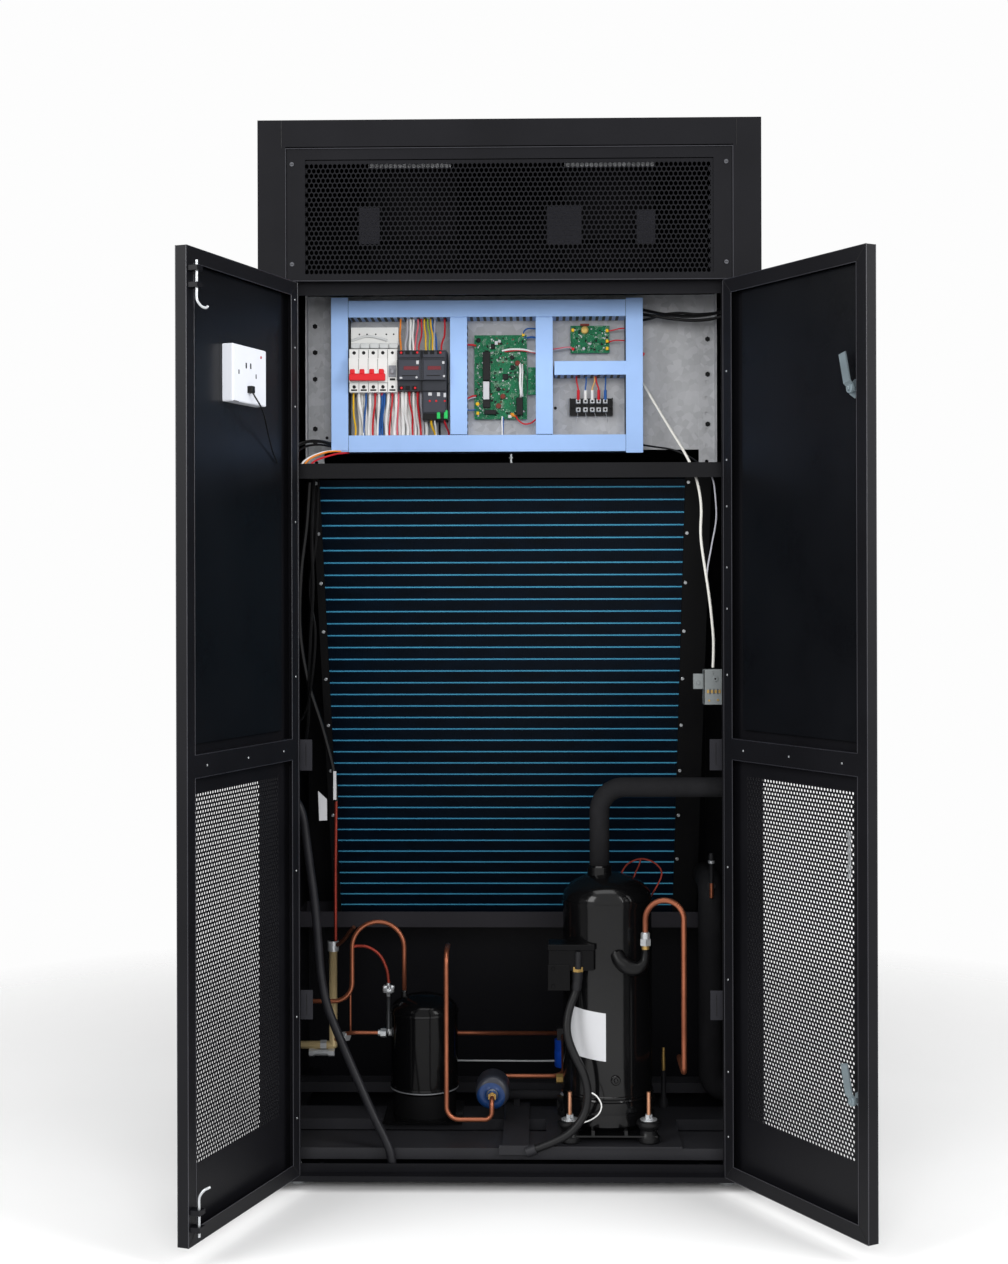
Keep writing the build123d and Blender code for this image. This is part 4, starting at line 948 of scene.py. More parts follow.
addPiece("terminalCover", [
    blocks([(x, x + 17.2, -158, -152, 1516, 1526) for x in (-303, -285, -267, -249, -231)], 1.2),
    pipe(smoothLine([(-302, -156, 1531), (-288, -157.5, 1535), (-272, -157.5, 1539), (-252, -157.5, 1536),
                     (-234, -157, 1531)], 6), 2.2),
], plasticFinish("clearCover", rgb(212, 214, 214), 0.25))

contactorFace = -197.5
addPiece("contactorFronts", [
    blocks([(x - 19.5, x + 19.5, contactorFace - 1.4, contactorFace + 0.4, 1451.5, 1488.5)
            for x in (-189.7, -143.4)], 0.6),
    blocks([(x - 21, x + 21, -191.6, -189, 1494, 1505) for x in (-189.7, -143.4)], 0.5),
    blocks([(-164.5, -122.5, -185.4, -183, 1392, 1430)], 0.6),
], slatePlastic, smooth=False)
addPiece("contactorMarks", [
    blocks([(-166.9, -166.1, -196, -180, 1432, 1508),
            (-203, -176, contactorFace - 1.9, contactorFace, 1458.5, 1460),
            (-157, -132, contactorFace - 1.9, contactorFace, 1458.5, 1460)], 0.1),
    blocks([(x, x + 8, -192.2, -189, 1433.5, 1441) for x in (-209, -197, -184)]
           + [(x, x + 8, -192.2, -189, 1500, 1506.5) for x in (-209, -197, -184, -163, -151, -138)], 0.3),
    blocks([(-166, -120.6, -182, -127, 1378, 1391)], 0.6),
], marks, smooth=False)
addPiece("contactorWindows", [
    blocks([(-200, -172, contactorFace - 1.9, contactorFace, 1470, 1477),
            (-155, -130, contactorFace - 1.9, contactorFace, 1470, 1477)], 0.3),
], dullRed, smooth=False)
addPiece("contactorRedScrews", [
    *discs([(x, -191.8, z) for x, z in ((-204.6, 1437), (-179, 1437), (-175, 1503.4), (-131.5, 1503),
                                        (-205, 1503))], 2.3, 1.4),
    *discs([(x, -185, z) for x, z in ((-152, 1413), (-123.8, 1413), (-140, 1413))], 2.0, 1.6),
], redPlastic)
addPiece("contactorPaleBits", [
    blocks([(-176.5, -171.5, -199.6, -197, 1480.5, 1487.5), (-128, -123.5, -199.6, -197, 1481, 1486),
            (-138.5, -132.5, -186.6, -184, 1422, 1429), (-126, -121.5, -186.6, -184, 1420, 1428),
            (-155, -148, -186.6, -184, 1423, 1429), (-207.5, -202.5, -199.4, -197, 1453.5, 1457)], 0.4),
    *discs([(-124.5, -198.6, 1458), (-176, -198.6, 1456)], 2.2, 1),
], paper, smooth=False)
addPiece("overloadTerminals", [
    blocks([(-139, -132.6, -184, -150, 1380, 1396), (-125.6, -118.6, -184, -150, 1380, 1396)], 0.7),
], greenPlastic, smooth=False)

upperWires = [
    ("orange", 1.8, -208.6, -207, 0), ("grey", 2.1, -196, -198, 0), ("white", 2.2, -190, -190, 0),
    ("white", 1.9, -184, -184, 0),
    ("pink", 1.6, -176, -181, 0), ("red", 1.5, -170, -173, 0), ("yellow", 1.6, -164, -160, 0),
    ("green", 1.6, -158, -153, 0),
    ("yellow", 1.5, -152, -148, 0), ("blue", 1.6, -149, -139, 0), ("grey", 1.4, -144, -144, 0),
    ("red", 1.8, -126, -130, 0),
]
lowerWires = [
    ("yellow", 1.8, -297, -296.5, 0), ("white", 2.8, -287, -281, 0), ("blue", 1.9, -273.5, -279, 0),
    ("white", 2.5, -266, -270, 0),
    ("red", 1.9, -256, -262, 0), ("white", 2.2, -249, -253, 0), ("blue", 3.0, -243, -250, 0),
    ("blue", 1.8, -238, -244, 0),
    ("white", 2.9, -231, -236, 0), ("red", 1.7, -224, -231, 0), ("white", 2.7, -217, -221, 0),
    ("pink", 1.6, -212, -215, 0),
    ("white", 3.1, -205, -206, 0), ("white", 2.7, -198, -197, 0), ("red", 1.8, -192, -186, 0),
    ("white", 2.2, -184, -182, 0),
    ("red", 2.0, -176, -171, 0), ("grey", 1.8, -170, -167, 0), ("yellow", 2.1, -150, -145, 1384),
    ("white", 1.6, -144, -142, 1384),
    ("black", 2.1, -134, -134, 1384), ("red", 1.9, -125, -118, 1386),
]
addWires("upperWires", hanging(upperWires, 1574, 1507, (-152, -163), 3))
addWires("lowerWires", hanging(lowerWires, 1433, 1348, (-166, -148), 8))
addWires("backWires", hanging([("white", 3.3, x, x + 2, 0) for x in np.arange(-290, -160, 7)], 1433, 1348,
                              (-148, -138), 5))
addPiece("wireFerrules", [pipe([(x, -167, 1434), (x, -166, 1425)], 2.6, 8)
                          for x in (-256, -243, -224, -192, -176)],
         sheaths["red"])

boardFace = -133.6
addPiece("boardDarkParts", [
    blocks([(-53.4, -39.6, -147, boardFace, 1456, 1510), (-53.4, -39.6, -145, boardFace, 1404, 1455),
            (-50.6, -28.2, -146, boardFace, 1391.5, 1400), (9.9, 22.3, -148, boardFace, 1389.6, 1423),
            (-16, -6, -138, boardFace, 1458, 1469), (-1, 7, -138, boardFace, 1477, 1485),
            (-38, -31, -140, boardFace, 1516, 1526)], 0.7),
    *discs([(-62, boardFace, 1533), (2, boardFace, 1500), (-24, boardFace, 1440)], 4.2, 5),
    scatter(5, (-66, 26), (1388, 1538), 90, boardFace), scatter(6, (117, 183), (1512, 1556), 26, boardFace),
], blackPlastic, smooth=False)
addPiece("boardPaleParts", [
    blocks([(-53, -41.4, -147.6, -144.6, 1419.5, 1453.5), (-6, 1, -138, boardFace, 1385, 1391),
            (-31, -25, -141, boardFace, 1524, 1531)], 0.4),
    scatter(11, (-66, 26), (1388, 1538), 110, boardFace, (1.2, 3.2)),
    scatter(12, (117, 183), (1512, 1556), 26, boardFace, (1.2, 3.2)),
    *discs([(150, boardFace, 1526), (138, boardFace, 1516), (-22, boardFace, 1531)], 3, 5),
], paper, smooth=False)
addPiece("boardBrownParts", [
    *discs([(12.2, boardFace, 1489), (-15.8, boardFace, 1426), (-24, boardFace, 1408)], 5, 7),
    blocks([(131.5, 148.5, -141, boardFace, 1559, 1563)], 0.5),
    scatter(14, (-66, 26), (1388, 1538), 26, boardFace, (1.4, 3.4)),
], plasticFinish("brownParts", rgb(112, 48, 38), 0.4, mottle=0.3), smooth=False)
addPiece("boardYellowParts", [
    *discs([(-64, boardFace, 1412), (2.5, boardFace, 1391)], 3.6, 5),
    blocks([(x, x + 5, -141, boardFace, z, z + 6) for x,
            z in ((180, 1547), (180, 1527), (180, 1513), (115, 1548), (-66, 1391), (21, 1540))], 0.5),
], sheaths["yellow"], smooth=False)
addPiece("brassKnob", [turned([(5, 0), (7.2, 1), (7.2, 9), (6.2, 10.4), (3, 11.4)],
                              (140, boardFace, 1551), (0, -1, 0), 28)],
         platedFinish("paleBrassKnob", rgb(226, 192, 108), 0.3, 0.35))
addPiece("redIndicator", discs([(117.5, boardFace, 1515.5)], 3, 4), redPlastic)
addPiece("edgeBoard", [blocks([(32, 47.6, -146, -143.6, 1428, 1480)], 0.3),
                       scatter(21, (33, 46), (1430, 1478), 18, -146)], board,
         smooth=False)
addWires("boardWires", [
    ("white", 1.9, [(-17, -136, 1513), (0, -142, 1515), (24, -144, 1514), (40, -140, 1511),
                    (50, -136, 1511)]),
    ("red", 1.0, [(-12, -136, 1511), (8, -141, 1512.5), (26, -143, 1511.5), (50, -137, 1507)]),
    ("white", 2.2, [(16, -137, 1489), (18, -144, 1475), (17, -145, 1450), (19, -143, 1430),
                    (18, -136, 1424)]),
    ("white", 1.2, [(21, -137, 1487), (22, -143, 1470), (21, -144, 1445), (22, -136, 1426)]),
    ("blue", 1.4, [(27, -136, 1537), (24, -141, 1547), (32, -142, 1554), (50, -138, 1554)]),
    ("blue", 2.0, [(30, -136, 1537), (38, -140, 1538), (50, -138, 1537)]),
    ("red", 1.8, [(-67, -136, 1523), (-74, -140, 1524), (-84, -140, 1524)]),
    ("red", 1.6, [(-67, -136, 1428), (-75, -140, 1426), (-84, -141, 1421)]),
    ("grey", 1.2, [(-67, -136, 1425), (-75, -139, 1423), (-84, -141, 1419)]),
    ("blue", 1.2, [(-67, -136, 1401), (-76, -139, 1400), (-84, -140, 1400)]),
    ("red", 1.5, [(8, -136, 1390), (14, -142, 1380), (24, -144, 1373), (36, -144, 1374), (46, -142, 1381),
                  (52, -138, 1388)]),
    ("orange", 2.2, [(0, -136, 1393), (4, -141, 1390), (8, -136, 1388)]),
    ("white", 1.3, [(-17, -136, 1388), (-17.5, -142, 1378), (-17, -145, 1366), (-17, -148, 1346)]),
    ("blue", 1.1, [(-15, -136, 1386), (-15, -143, 1374), (-16, -147, 1346)]),
    ("red", 1.2, [(184, -136, 1549), (196, -140, 1551), (208, -141, 1553.5), (220, -139, 1554)]),
    ("red", 1.2, [(184, -136, 1528), (196, -140, 1531), (208, -141, 1531), (220, -139, 1530)]),
    ("pink", 1.2, [(76, -138, 1515), (88, -141, 1516), (102, -141, 1518), (115, -136, 1519)]),
    ("grey", 1.0, [(78, -138, 1513), (90, -141, 1514), (104, -141, 1517), (115, -136, 1517)]),
])

strip = {"poles": (127.4, 141.0, 153.9, 166.0, 178.6), "front": -142}
addPiece("stripClamps", [
    blocks([(x - 4.6, x + 4.6, -143.4, -128, z - 4.6, z + 4.6) for x in strip["poles"]
            for z in (1399.6, 1415.6)], 1),
], zinc, smooth=False)
addPiece("stripScrews", discs([(x, -143.2, z) for x in strip["poles"] for z in (1399.6, 1415.6)], 2.3, 0.9)
         + discs([(116.5, -142, 1405), (189, -142, 1405)], 2.8, 0.8), marks)
stripTones = ("red", "blue", "tan", "red", "blue")
stripTops = (123.6, 141.6, 157.4, 160.6, 178.4)
addWires("stripWires", [(tone, 1.5, [(top, -150, 1466), (top + 0.6, -152, 1452), (x - 0.4, -150, 1438),
                                     (x, -144, 1424), (x, -140, 1417)])
                        for tone, top, x in zip(stripTones, stripTops, strip["poles"])])
addWires("stripSleeves", [(tone, 2.9, [(x, -149, 1436), (x, -146, 1428), (x, -142, 1419)]) for tone, x in
                          zip(("red", "white", "white", "red", "blue"), strip["poles"])])
addPiece("stripTails",
         [pipe(smoothLine([(x, -138, 1395), (x + lean, -146, 1386), (x + 2 * lean, -146, 1376)], 5), 0.8, 6)
                        for x, lean in ((127, -2), (141, 1), (158, 2), (179, 2))], zinc)

addWires("sideCables", [
    ("black", 3.2, [(240, -160, 1588), (262, -176, 1580), (290, -190, 1572), (330, -200, 1567),
                    (366, -204, 1569), (402, -210, 1576)]),
    ("black", 3.0, [(240, -150, 1580), (268, -170, 1573), (300, -186, 1565), (336, -196, 1560),
                    (370, -200, 1561), (402, -208, 1568)]),
    ("black", 2.6, [(240, -150, 1566), (262, -166, 1568), (284, -180, 1573), (316, -190, 1575),
                    (352, -198, 1571), (402, -206, 1574)]),
    ("black", 3.2, [(-330, -165, 1331), (-352, -190, 1337), (-374, -206, 1337), (-392, -218, 1331),
                    (-402, -226, 1320)]),
    ("black", 2.2, [(-330, -165, 1328), (-356, -196, 1331), (-380, -214, 1327), (-396, -236, 1312),
                    (-400, -250, 1292)]),
    ("white", 1.8, [(-322, -168, 1322), (-346, -196, 1318), (-366, -216, 1310), (-380, -232, 1300),
                    (-388, -244, 1289)]),
    ("orange", 1.8, [(-312, -168, 1320), (-334, -190, 1319), (-352, -206, 1314), (-372, -226, 1303),
                     (-382, -240, 1290)]),
    ("red", 1.8, [(-306, -168, 1318), (-326, -192, 1314), (-346, -210, 1307), (-362, -228, 1299),
                  (-370, -242, 1290)]),
    ("black", 1.8, [(246, -150, 1332), (268, -180, 1326), (300, -210, 1318), (330, -240, 1302),
                    (345, -262, 1289)]),
])
angleBolts = [(-375, z) for z in (1563, 1513, 1462, 1367, 1342)] + [(374, z) for z in (1535, 1468, 1373)]
addPiece("angleBolts", discs([(x, -121.8, z) for x, z in angleBolts], 5, 3, sides=6)
         + discs([(361, -120, 1343), (-353, -120, 1350), (84, -120, 1405)], 3, 0.8), marks)
addPiece("plateTerminal", discs([(251, -120, 1507)], 3.4, 5), redPlastic)
addPiece("earthStud", [
    disc((0, -165, 1287), 7, 5, (0, 0, 1), 6), disc((0, -165, 1292), 2.2, 22, (0, 0, 1), 12),
    disc((0, -165, 1306), 4, 3, (0, 0, 1), 6),
], zinc)
addPiece("earthLug", [disc((13, -165, 1287), 5, 6, (0, 0, 1), 6),
                      blocks([(4, 12, -168, -162, 1287, 1289)], 0.3)], brass)

# Coil and its end sheets
print("coil fittings")
coilScrews = {"top": 1260, "pitch": 94, "count": 9, "xs": (332.5, -367.5), "slope": 0.41626}
screwPlaces = [(x, -176 + (1254 - z) * coilScrews["slope"] + 0.4, z) for x in coilScrews["xs"]
               for z in coilScrews["top"] - coilScrews["pitch"] * np.arange(coilScrews["count"])]
addPiece("coilScrews", discs(screwPlaces, 3.4, 2.6, (0, -0.9232, -0.3843)), zinc)

# Cabinet front, grille and posts
print("cabinet fittings")
addPiece("grilleScrews", discs([(x, -349, z) for x in (-388.5, 387.5) for z in (1642, 1821)], 4, 2),
         platedFinish("darkScrew", rgb(84, 85, 90), 0.4, 0.4))
addPiece("grilleScrewSlots",
         [blocks([(x - 2.8, x + 2.8, -351.3, -350.8, z - 0.5, z + 0.5) for x in (-388.5, 387.5)
                  for z in (1642, 1821)], 0.1)],
         marks, smooth=False)
addPiece("outletRims",
         [blocks([(-256, -106, -294, -289.5, 1826, 1840), (100, 262, -294, -289.5, 1826, 1840)], 0.6)],
         galvanised,
         smooth=False)
addPiece("motorPlates", [blocks([(-274, -236, -292, -289.6, 1688, 1755), (68, 131, -292, -289.6, 1686, 1755),
                                 (231, 265, -292, -289.6, 1686, 1748)], 0.6)],
         coatFinish("motorPlateCoat", rgb(36, 36, 41), 0.5), smooth=False)
stopRivets = [(side * 392, -325, z) for side in (-1, 1) for z in (1393, 1207, 1010, 607, 446, 275, 120)]
addPiece("postRivets", discs(stopRivets, 2.1, 0.9), zinc)
addPiece("hingePlates", [blocks([(min(s * 358, s * 392), max(s * 358, s * 392), -323, -320.4, low, high)
                                 for s in (-1, 1) for low, high in ((733, 789), (284, 337))], 0.8)],
         coatFinish("plateCoat", rgb(38, 38, 42), 0.5), smooth=False)
addPiece("hingePlateSlots", [blocks([(s * 369 - 0.6, s * 369 + 0.6, -323.5, -322.5, low, high)
                                     for s in (-1, 1) for low, high in ((742, 782), (292, 330))], 0.1)],
         marks, smooth=False)
for side, hinge, levels in (("left", leftHinge, (1575, 1490, 1385, 1180, 905, 560, 300, 120)),
                            ("right", rightHinge, (1444, 1287, 1205, 1097, 1024, 907, 567, 368, 205, 90))):
    rivets = [onDoor(disc((13, 22.4, z), 1.9, 0.9, (0, 1, 0), 10), hinge) for z in levels]
    rivets += [onDoor(disc((x, 22.4, 776), 1.9, 0.9, (0, 1, 0), 10), hinge) for x in (60, 190, 330)]
    addPiece(side + "DoorRivets", rivets, zinc, side + "_door")
# real rounded edges in a coat lighter than the black paint: the lighter tone is a painted highlight
edgeHighlightCoat = coatFinish("edgeHighlightCoat", rgb(42, 42, 47), 0.3, gloss=0.4)
lip = {"outer": (2.8, 393.7, 15.3, 1606.7), "lower": (27.5, 369, 40, 758),
       "upper": (27.5, 369, 795, 1582), "face": 22.4}


def bead(edges, face):
    # rounded edges of a rectangle in the door's plane
    x0, x1, z0, z1 = edges
    corners = [(x0, face, z0), (x1, face, z0), (x1, face, z1), (x0, face, z1), (x0, face, z0)]
    return [pipe([first, second], 0.8, 8) for first, second in zip(corners, corners[1:])]


for side, hinge in (("left", leftHinge), ("right", rightHinge)):
    flats = (("outer", lip["face"]), ("outer", 3.2), ("lower", lip["face"]), ("upper", lip["face"]))
    rims = [edge for key, level in flats for edge in bead(lip[key], level)]
    addPiece(side + "DoorEdges", [onDoor(rim, hinge) for rim in rims], edgeHighlightCoat, side + "_door")
    x0, x1, z0, z1 = lip["outer"]
    near, far, low, _ = lip["lower"]
    high, front = lip["upper"][3], lip["face"] + 0.1
    inner = ((near, low), (far, low), (far, high), (near, high))
    outer = ((x0, z0), (x1, z0), (x1, z1), (x0, z1))
    mitres = [pipe([(a, front, b), (c, front, d)], 0.5, 6) for (a, b), (c, d) in zip(inner, outer)]
    addPiece(side + "DoorMitres", [onDoor(line, hinge) for line in mitres], marks, side + "_door")
# lighter rounded edges round the grille opening: painted highlights
frontEdgeHighlights = [pipe([(x, -350.4, 1612), (x, -350.4, 1849)], 0.9, 8) for x in (-399.5, 399.5)]
frontEdgeHighlights += [pipe([(-399.5, -350.4, z), (399.5, -350.4, z)], 0.9, 8) for z in (1612, 1849)]
addPiece("capSeams", [pipe([(x, -350.3, 1850), (x, -350.3, 1899)], 0.5, 6) for x in (-407, 406)], marks)
addPiece("frontEdgeHighlights", frontEdgeHighlights, edgeHighlightCoat)
for end, level in (("upper", 1380), ("lower", 236)):
    addPiece(end + "LatchBoss", [onDoor(disc((357, 25, level), 7.5, 3.4, (0, 1, 0), 24), rightHinge),
                                 onDoor(disc((357, 28, level), 3.6, 3, (0, 1, 0), 6), rightHinge)],
             latchZinc, end + "_latch")
addPiece("meshCatch", [onDoor(disc((328, 5, z), r, 4, (0, 1, 0), 14), rightHinge)
                       for z, r in ((660, 5), (646, 4), (632, 4), (606, 4.6), (592, 3.6))]
         + [onDoor(blocks([(325, 331, 4.4, 6.4, 588, 664)], 0.5), rightHinge)], zinc, "right_door")

# Door bolts: bent rod with a hook at its inner end
print("door fittings")
bolts = {
    "upper": [(382, 35, 1584), (382, 35, 1562), (382, 35, 1540), (382, 35, 1523),
              (381, 38, 1515), (378, 43, 1509), (375, 48, 1508), (373, 50, 1511)],
    "lower": [(382, 35, 31), (382, 35, 53), (382, 35, 75), (382, 35, 92),
              (381, 38, 100), (378, 43, 106), (375, 47, 108), (372, 49, 109)],
}
for end, line in bolts.items():
    addPiece(end + "BoltRod", [onDoor(pipe(smoothLine(line, 8), 2.2, 12), leftHinge)], zinc, end + "_bolt",
             replaces=(end + "_flush_bolt",))

controller = {"face": 32, "slots": ((237.9, 1422.1, 1.6, 3.6), (212.5, 1435.1, 2.2, 4.6),
                                    (196.6, 1435.8, 2.2, 4.6), (177.8, 1420.2, 1.5, 3.8))}
addPiece("controllerSlots",
         [onDoor(blocks([(x - w, x + w, 31.2, 32.3, z - h, z + h) for x, z, w, h in controller["slots"]]
                                           + [(239, 257, 31.8, 32.15, 1371.9, 1373)], 0.2), leftHinge)],
         marks, "left_door", False)
addPiece("controllerLamp", [onDoor(disc((160, 31.6, 1454.6), 2.6, 1.2, (0, 1, 0)), leftHinge)],
         plasticFinish("lampRed", rgb(170, 60, 66), 0.3), "left_door")
addPiece("controllerPlug", [onDoor(blocks([(197.5, 209, 31.6, 41, 1389.5, 1401.5)], 1), leftHinge),
                            onDoor(pipe(smoothLine([(203, 38, 1392), (198, 42, 1382), (180, 42, 1369),
                                                    (158, 38, 1352), (128, 28, 1330), (92, 18, 1302),
                                                     (66, 14, 1282)]), 1.3, 8), leftHinge)],
         sheaths["black"], "left_door")
addPiece("linerCutLines",
         [onDoor(blocks([(266, 267.4, 11.7, 12.25, 1362, 1482), (150, 266, 11.7, 12.25, 1480.6, 1482),
                                          (168, 266, 11.7, 12.25, 1362, 1363.4)], 0.1), leftHinge)],
         marks, "left_door", False)
addPiece("switchBody", [
    blocks([(350, 448.5, -292, -268, 849, 913)], 1.2), blocks([(332, 352, -283, -279, 877, 905)], 0.6),
    *discs([(371, -291.8, 896)], 5, 2.6), *discs([(341, -283, 888)], 3.4, 2),
    *discs([(366, -291.8, 907)], 2.6, 2),
], platedFinish("switchPlate", rgb(126, 131, 132), 0.42, 0.3), replaces=("door_switch",))
addPiece("switchTerminals", [blocks([(356 + 7 * n, 360 + 7 * n, -293, -291.6, 870, 876) for n in range(4)]
                                    + [(358, 362, -293, -291.6, 855, 858),
                                       (374, 378, -293, -291.6, 856, 859)], 0.3)],
         brass, smooth=False)
addPiece("switchMarks", [blocks([(361 + 7 * n, 362.4 + 7 * n, -292.7, -291.8, 868, 878) for n in range(3)]
                                + [(331.4, 351.8, -283.4, -282.8, 876.4, 877.4),
                                   (350, 352, -292.4, -291.8, 850, 912)], 0.1),
                         *discs([(371, -294.2, 896)], 1.8, 0.6)], marks, smooth=False)
addWires("secondLead", [("grey", 1.5, [(360, -284, 1268), (368, -286, 1259), (372, -288, 1233),
                                       (374, -289, 1187), (366, -291, 1141),
                                       (357, -292, 1090), (359, -291, 1060)])])

# Machine bay
print("machine bay")
shell = {"centre": (178, -185), "radius": 83, "foot": 66, "shoulder": 481, "top": 529.5, "seams": (127, 476)}
vessel = {"centre": (-172, -75), "radius": 64.4, "foot": 97, "shoulder": 247, "top": 278.6,
          "seams": (103, 245)}


def drawnShell(values, bowl):
    # straight wall with raised weld seams, an elliptical dome and a rounded bowl of the given depth
    radius = values["radius"]
    down = np.linspace(-pi / 2 + 0.25, 0, 9)
    up = np.linspace(0, pi / 2 - 0.14, 16)
    profile = [(radius * cos(a) ** 0.6, values["foot"] + bowl + bowl * sin(a)) for a in down]
    for seam in values["seams"]:
        profile += [(radius, seam - 3), (radius + 1.5, seam - 1.5), (radius + 1.5, seam + 1.5),
                    (radius, seam + 3)]
    profile = [point for point in profile if point[1] < values["shoulder"]]
    profile += [(radius * cos(a), values["shoulder"] + (values["top"] - values["shoulder"]) * sin(a))
                for a in up]
    return turned(profile, (*values["centre"], 0), (0, 0, 1), 96)


addPiece("compressorShell", [drawnShell(shell, 34)], enamel)
addPiece("receiverShell", [drawnShell(vessel, 2)],
         enamelFinish("receiverEnamel", rgb(7, 7, 8), gloss=0.12))
addPiece("receiverRim", [turned([(64.4, 97.4), (65.9, 98.2), (65.9, 99.4), (64.4, 100.2)],
                                (*vessel["centre"], 0), (0, 0, 1), 96)],
         platedFinish("rimSteel", rgb(150, 152, 156), 0.3, 0.5))


def dischargeLine():
    # up from the nut, half round and down, then a quarter round towards the back
    x, y, level, half = 244.5, -273.2, 456, 35
    arch = np.linspace(pi, 0, 25)
    rise = [(x, y, z) for z in (428, 436, 446)]
    over = [(x + half + half * cos(a), y, level + half * sin(a)) for a in arch]
    fall = [(x + 2 * half, y, z) for z in (430, 380, 320, 260, 210, 195)]
    turn = [(x + 2 * half, y + 14 - 14 * cos(a), 189 - 14 * sin(a)) for a in np.linspace(0.1, pi / 2, 8)]
    return pipe(rise + over + fall + turn + [(x + 2 * half, y + 60, 175), (x + 2 * half, y + 120, 175)],
                5.2, 16)


addPiece("dischargeTube", [dischargeLine()], copper, replaces=("discharge_line",))
addPiece("dischargeNut", [disc((244.5, -273.2, 409), 10.5, 12, (0, 0, 1), 6),
                          disc((244.5, -273.2, 421), 8.4, 12, (0, 0, 1), 24, 2)],
         zinc)
addPiece("dischargeCollar", [disc((244.5, -273.2, 402), 7, 8, (0, 0, 1), 24)], brass)
elbow = smoothLine([(192, -262, 392), (200, -268, 378), (216, -274, 368), (232, -276, 368),
                    (242, -275, 378), (244.5, -273.2, 392),
                    (244.5, -273.2, 405)], 6)
addPiece("dischargeElbow",
         [pipe(elbow, np.interp(np.arange(len(elbow)), (0, 10, 18, 26, 36), (13, 15, 12, 8, 6.6)), 18)],
         rubberFinish("elbowRubber", rgb(7, 7, 8), 0.34))
addPiece("shellLabel", [wrapped((-61, -4), (204, 292), shell["radius"] + 0.15, 0.4, shell["centre"], -9)],
         paper)


def shellPlug(angle, z, radius, height):
    # a plug on the shell's side, square to it
    turn = radians(angle)
    reach = shell["radius"] - 1
    place = (shell["centre"][0] + reach * sin(turn), shell["centre"][1] - reach * cos(turn), z)
    return disc(place, radius, height, (sin(turn), -cos(turn), 0), 24, 1.6)


addPiece("shellPlugs", [shellPlug(8, 161, 9, 6), shellPlug(8, 161, 4, 10), shellPlug(8, 391, 6, 5),
                        turned([(84.6, 0), (86, 2.5), (84.6, 5)], (*shell["centre"], 118), (0, 0, 1),
                               64)], enamel)
addPiece("suctionCollar", [turned([(20, 0), (23, 3), (23, 18), (20.5, 21)], (164, -185, 522), (0, 0, 1),
                                  40)], enamel)
addPiece("capillaryLoop", [
    pipe(smoothLine([(205, -150, 513), (208, -146, 524), (221, -138, 539), (246, -130, 546),
                     (272, -128, 537), (284, -128, 517),
                     (270, -134, 487), (255, -165, 472)]), 1.7, 8),
    pipe(smoothLine([(244, -131, 545), (240, -138, 534), (232, -150, 520), (228, -156, 506)]), 1.5, 8),
], oxideRed)
addPiece("glandStem", [
    pipe([(122, -273, 397), (122, -273, 392), (121.5, -271, 366)], [5, 6.4, 6.4], 16),
    pipe(smoothLine([(121, -262, 362), (120.5, -260, 346), (118, -262, 324)], 5),
         [10.5] * 6 + [9.6] * 4 + [8.6], 16),
], rubber)
addPiece("glandNut", [disc((121.5, -267, 360), 10.2, 9, (0, 0, 1), 6)], brass)
addPiece("boxLid", [
    blocks([(66, 152, -272.6, -269.4, 399, 409.5), (66, 107, -272.4, -269.4, 325.5, 372)], 1),
    *discs([(76, -272, 366), (76, -272, 334)], 3.4, 2.2),
], boxCoat, smooth=False)
studs = [(106, -270), (250, -270), (106, -100), (250, -100)]
grommet = [(19, 49.7), (21, 52), (21, 60), (16, 66), (15.5, 72), (21, 79), (22.5, 83), (21.5, 88), (15, 90)]
addPiece("mountGrommets", [turned(grommet, (x, y, 0), (0, 0, 1), 36) for x, y in studs],
         rubberFinish("grommetRubber", rgb(18, 18, 19), 0.3))
addPiece("studWashers", [disc((x, y, 90), 15.5, 1.8, (0, 0, 1), 32) for x,
                         y in studs] + [disc((x, y, 91.8), 10, 1.6, (0, 0, 1), 28) for x, y in studs]
         + [disc((x, y, 93.4), 7, 6.4, (0, 0, 1), 6) for x, y in studs], zinc)
addPiece("rearStudSleeve", [turned([(9, 45.7), (9, 60), (5.4, 66), (5, 118)], (293, -28, 0), (0, 0, 1),
                                   20)], rubber)
addPiece("rearStud", [pipe([(293, -28, 112), (293, -28, 140), (293, -28, 162)], [3.6, 3.4, 2.8], 14)],
         brass)
addPiece("receiverFoot", [turned([(60, 49.8), (60, 97), (56, 99)], (*vessel["centre"], 0), (0, 0, 1),
                                 64)], innerBlack)
addPiece("receiverCollar", [turned([(5.6, 256), (6.4, 259), (6.4, 280), (5, 284)], (-211, -75, 0),
                                   (0, 0, 1), 20)], enamel)
addPiece("coilShell", [turned([(16.2, 92), (17.4, 94), (17.4, 124), (16.6, 126)], (98, 100, 0), (0, 0, 1),
                              32)],
         plasticFinish("coilBlue", rgb(18, 66, 168), 0.34))
addWires("tieLoop", [("white", 1.3, [(138, -298, 146), (146, -299, 146), (156, -297, 138),
                                     (163, -294, 122), (158, -290, 106), (144, -286, 94),
                                     (126, -280, 86), (112, -276, 84)])])

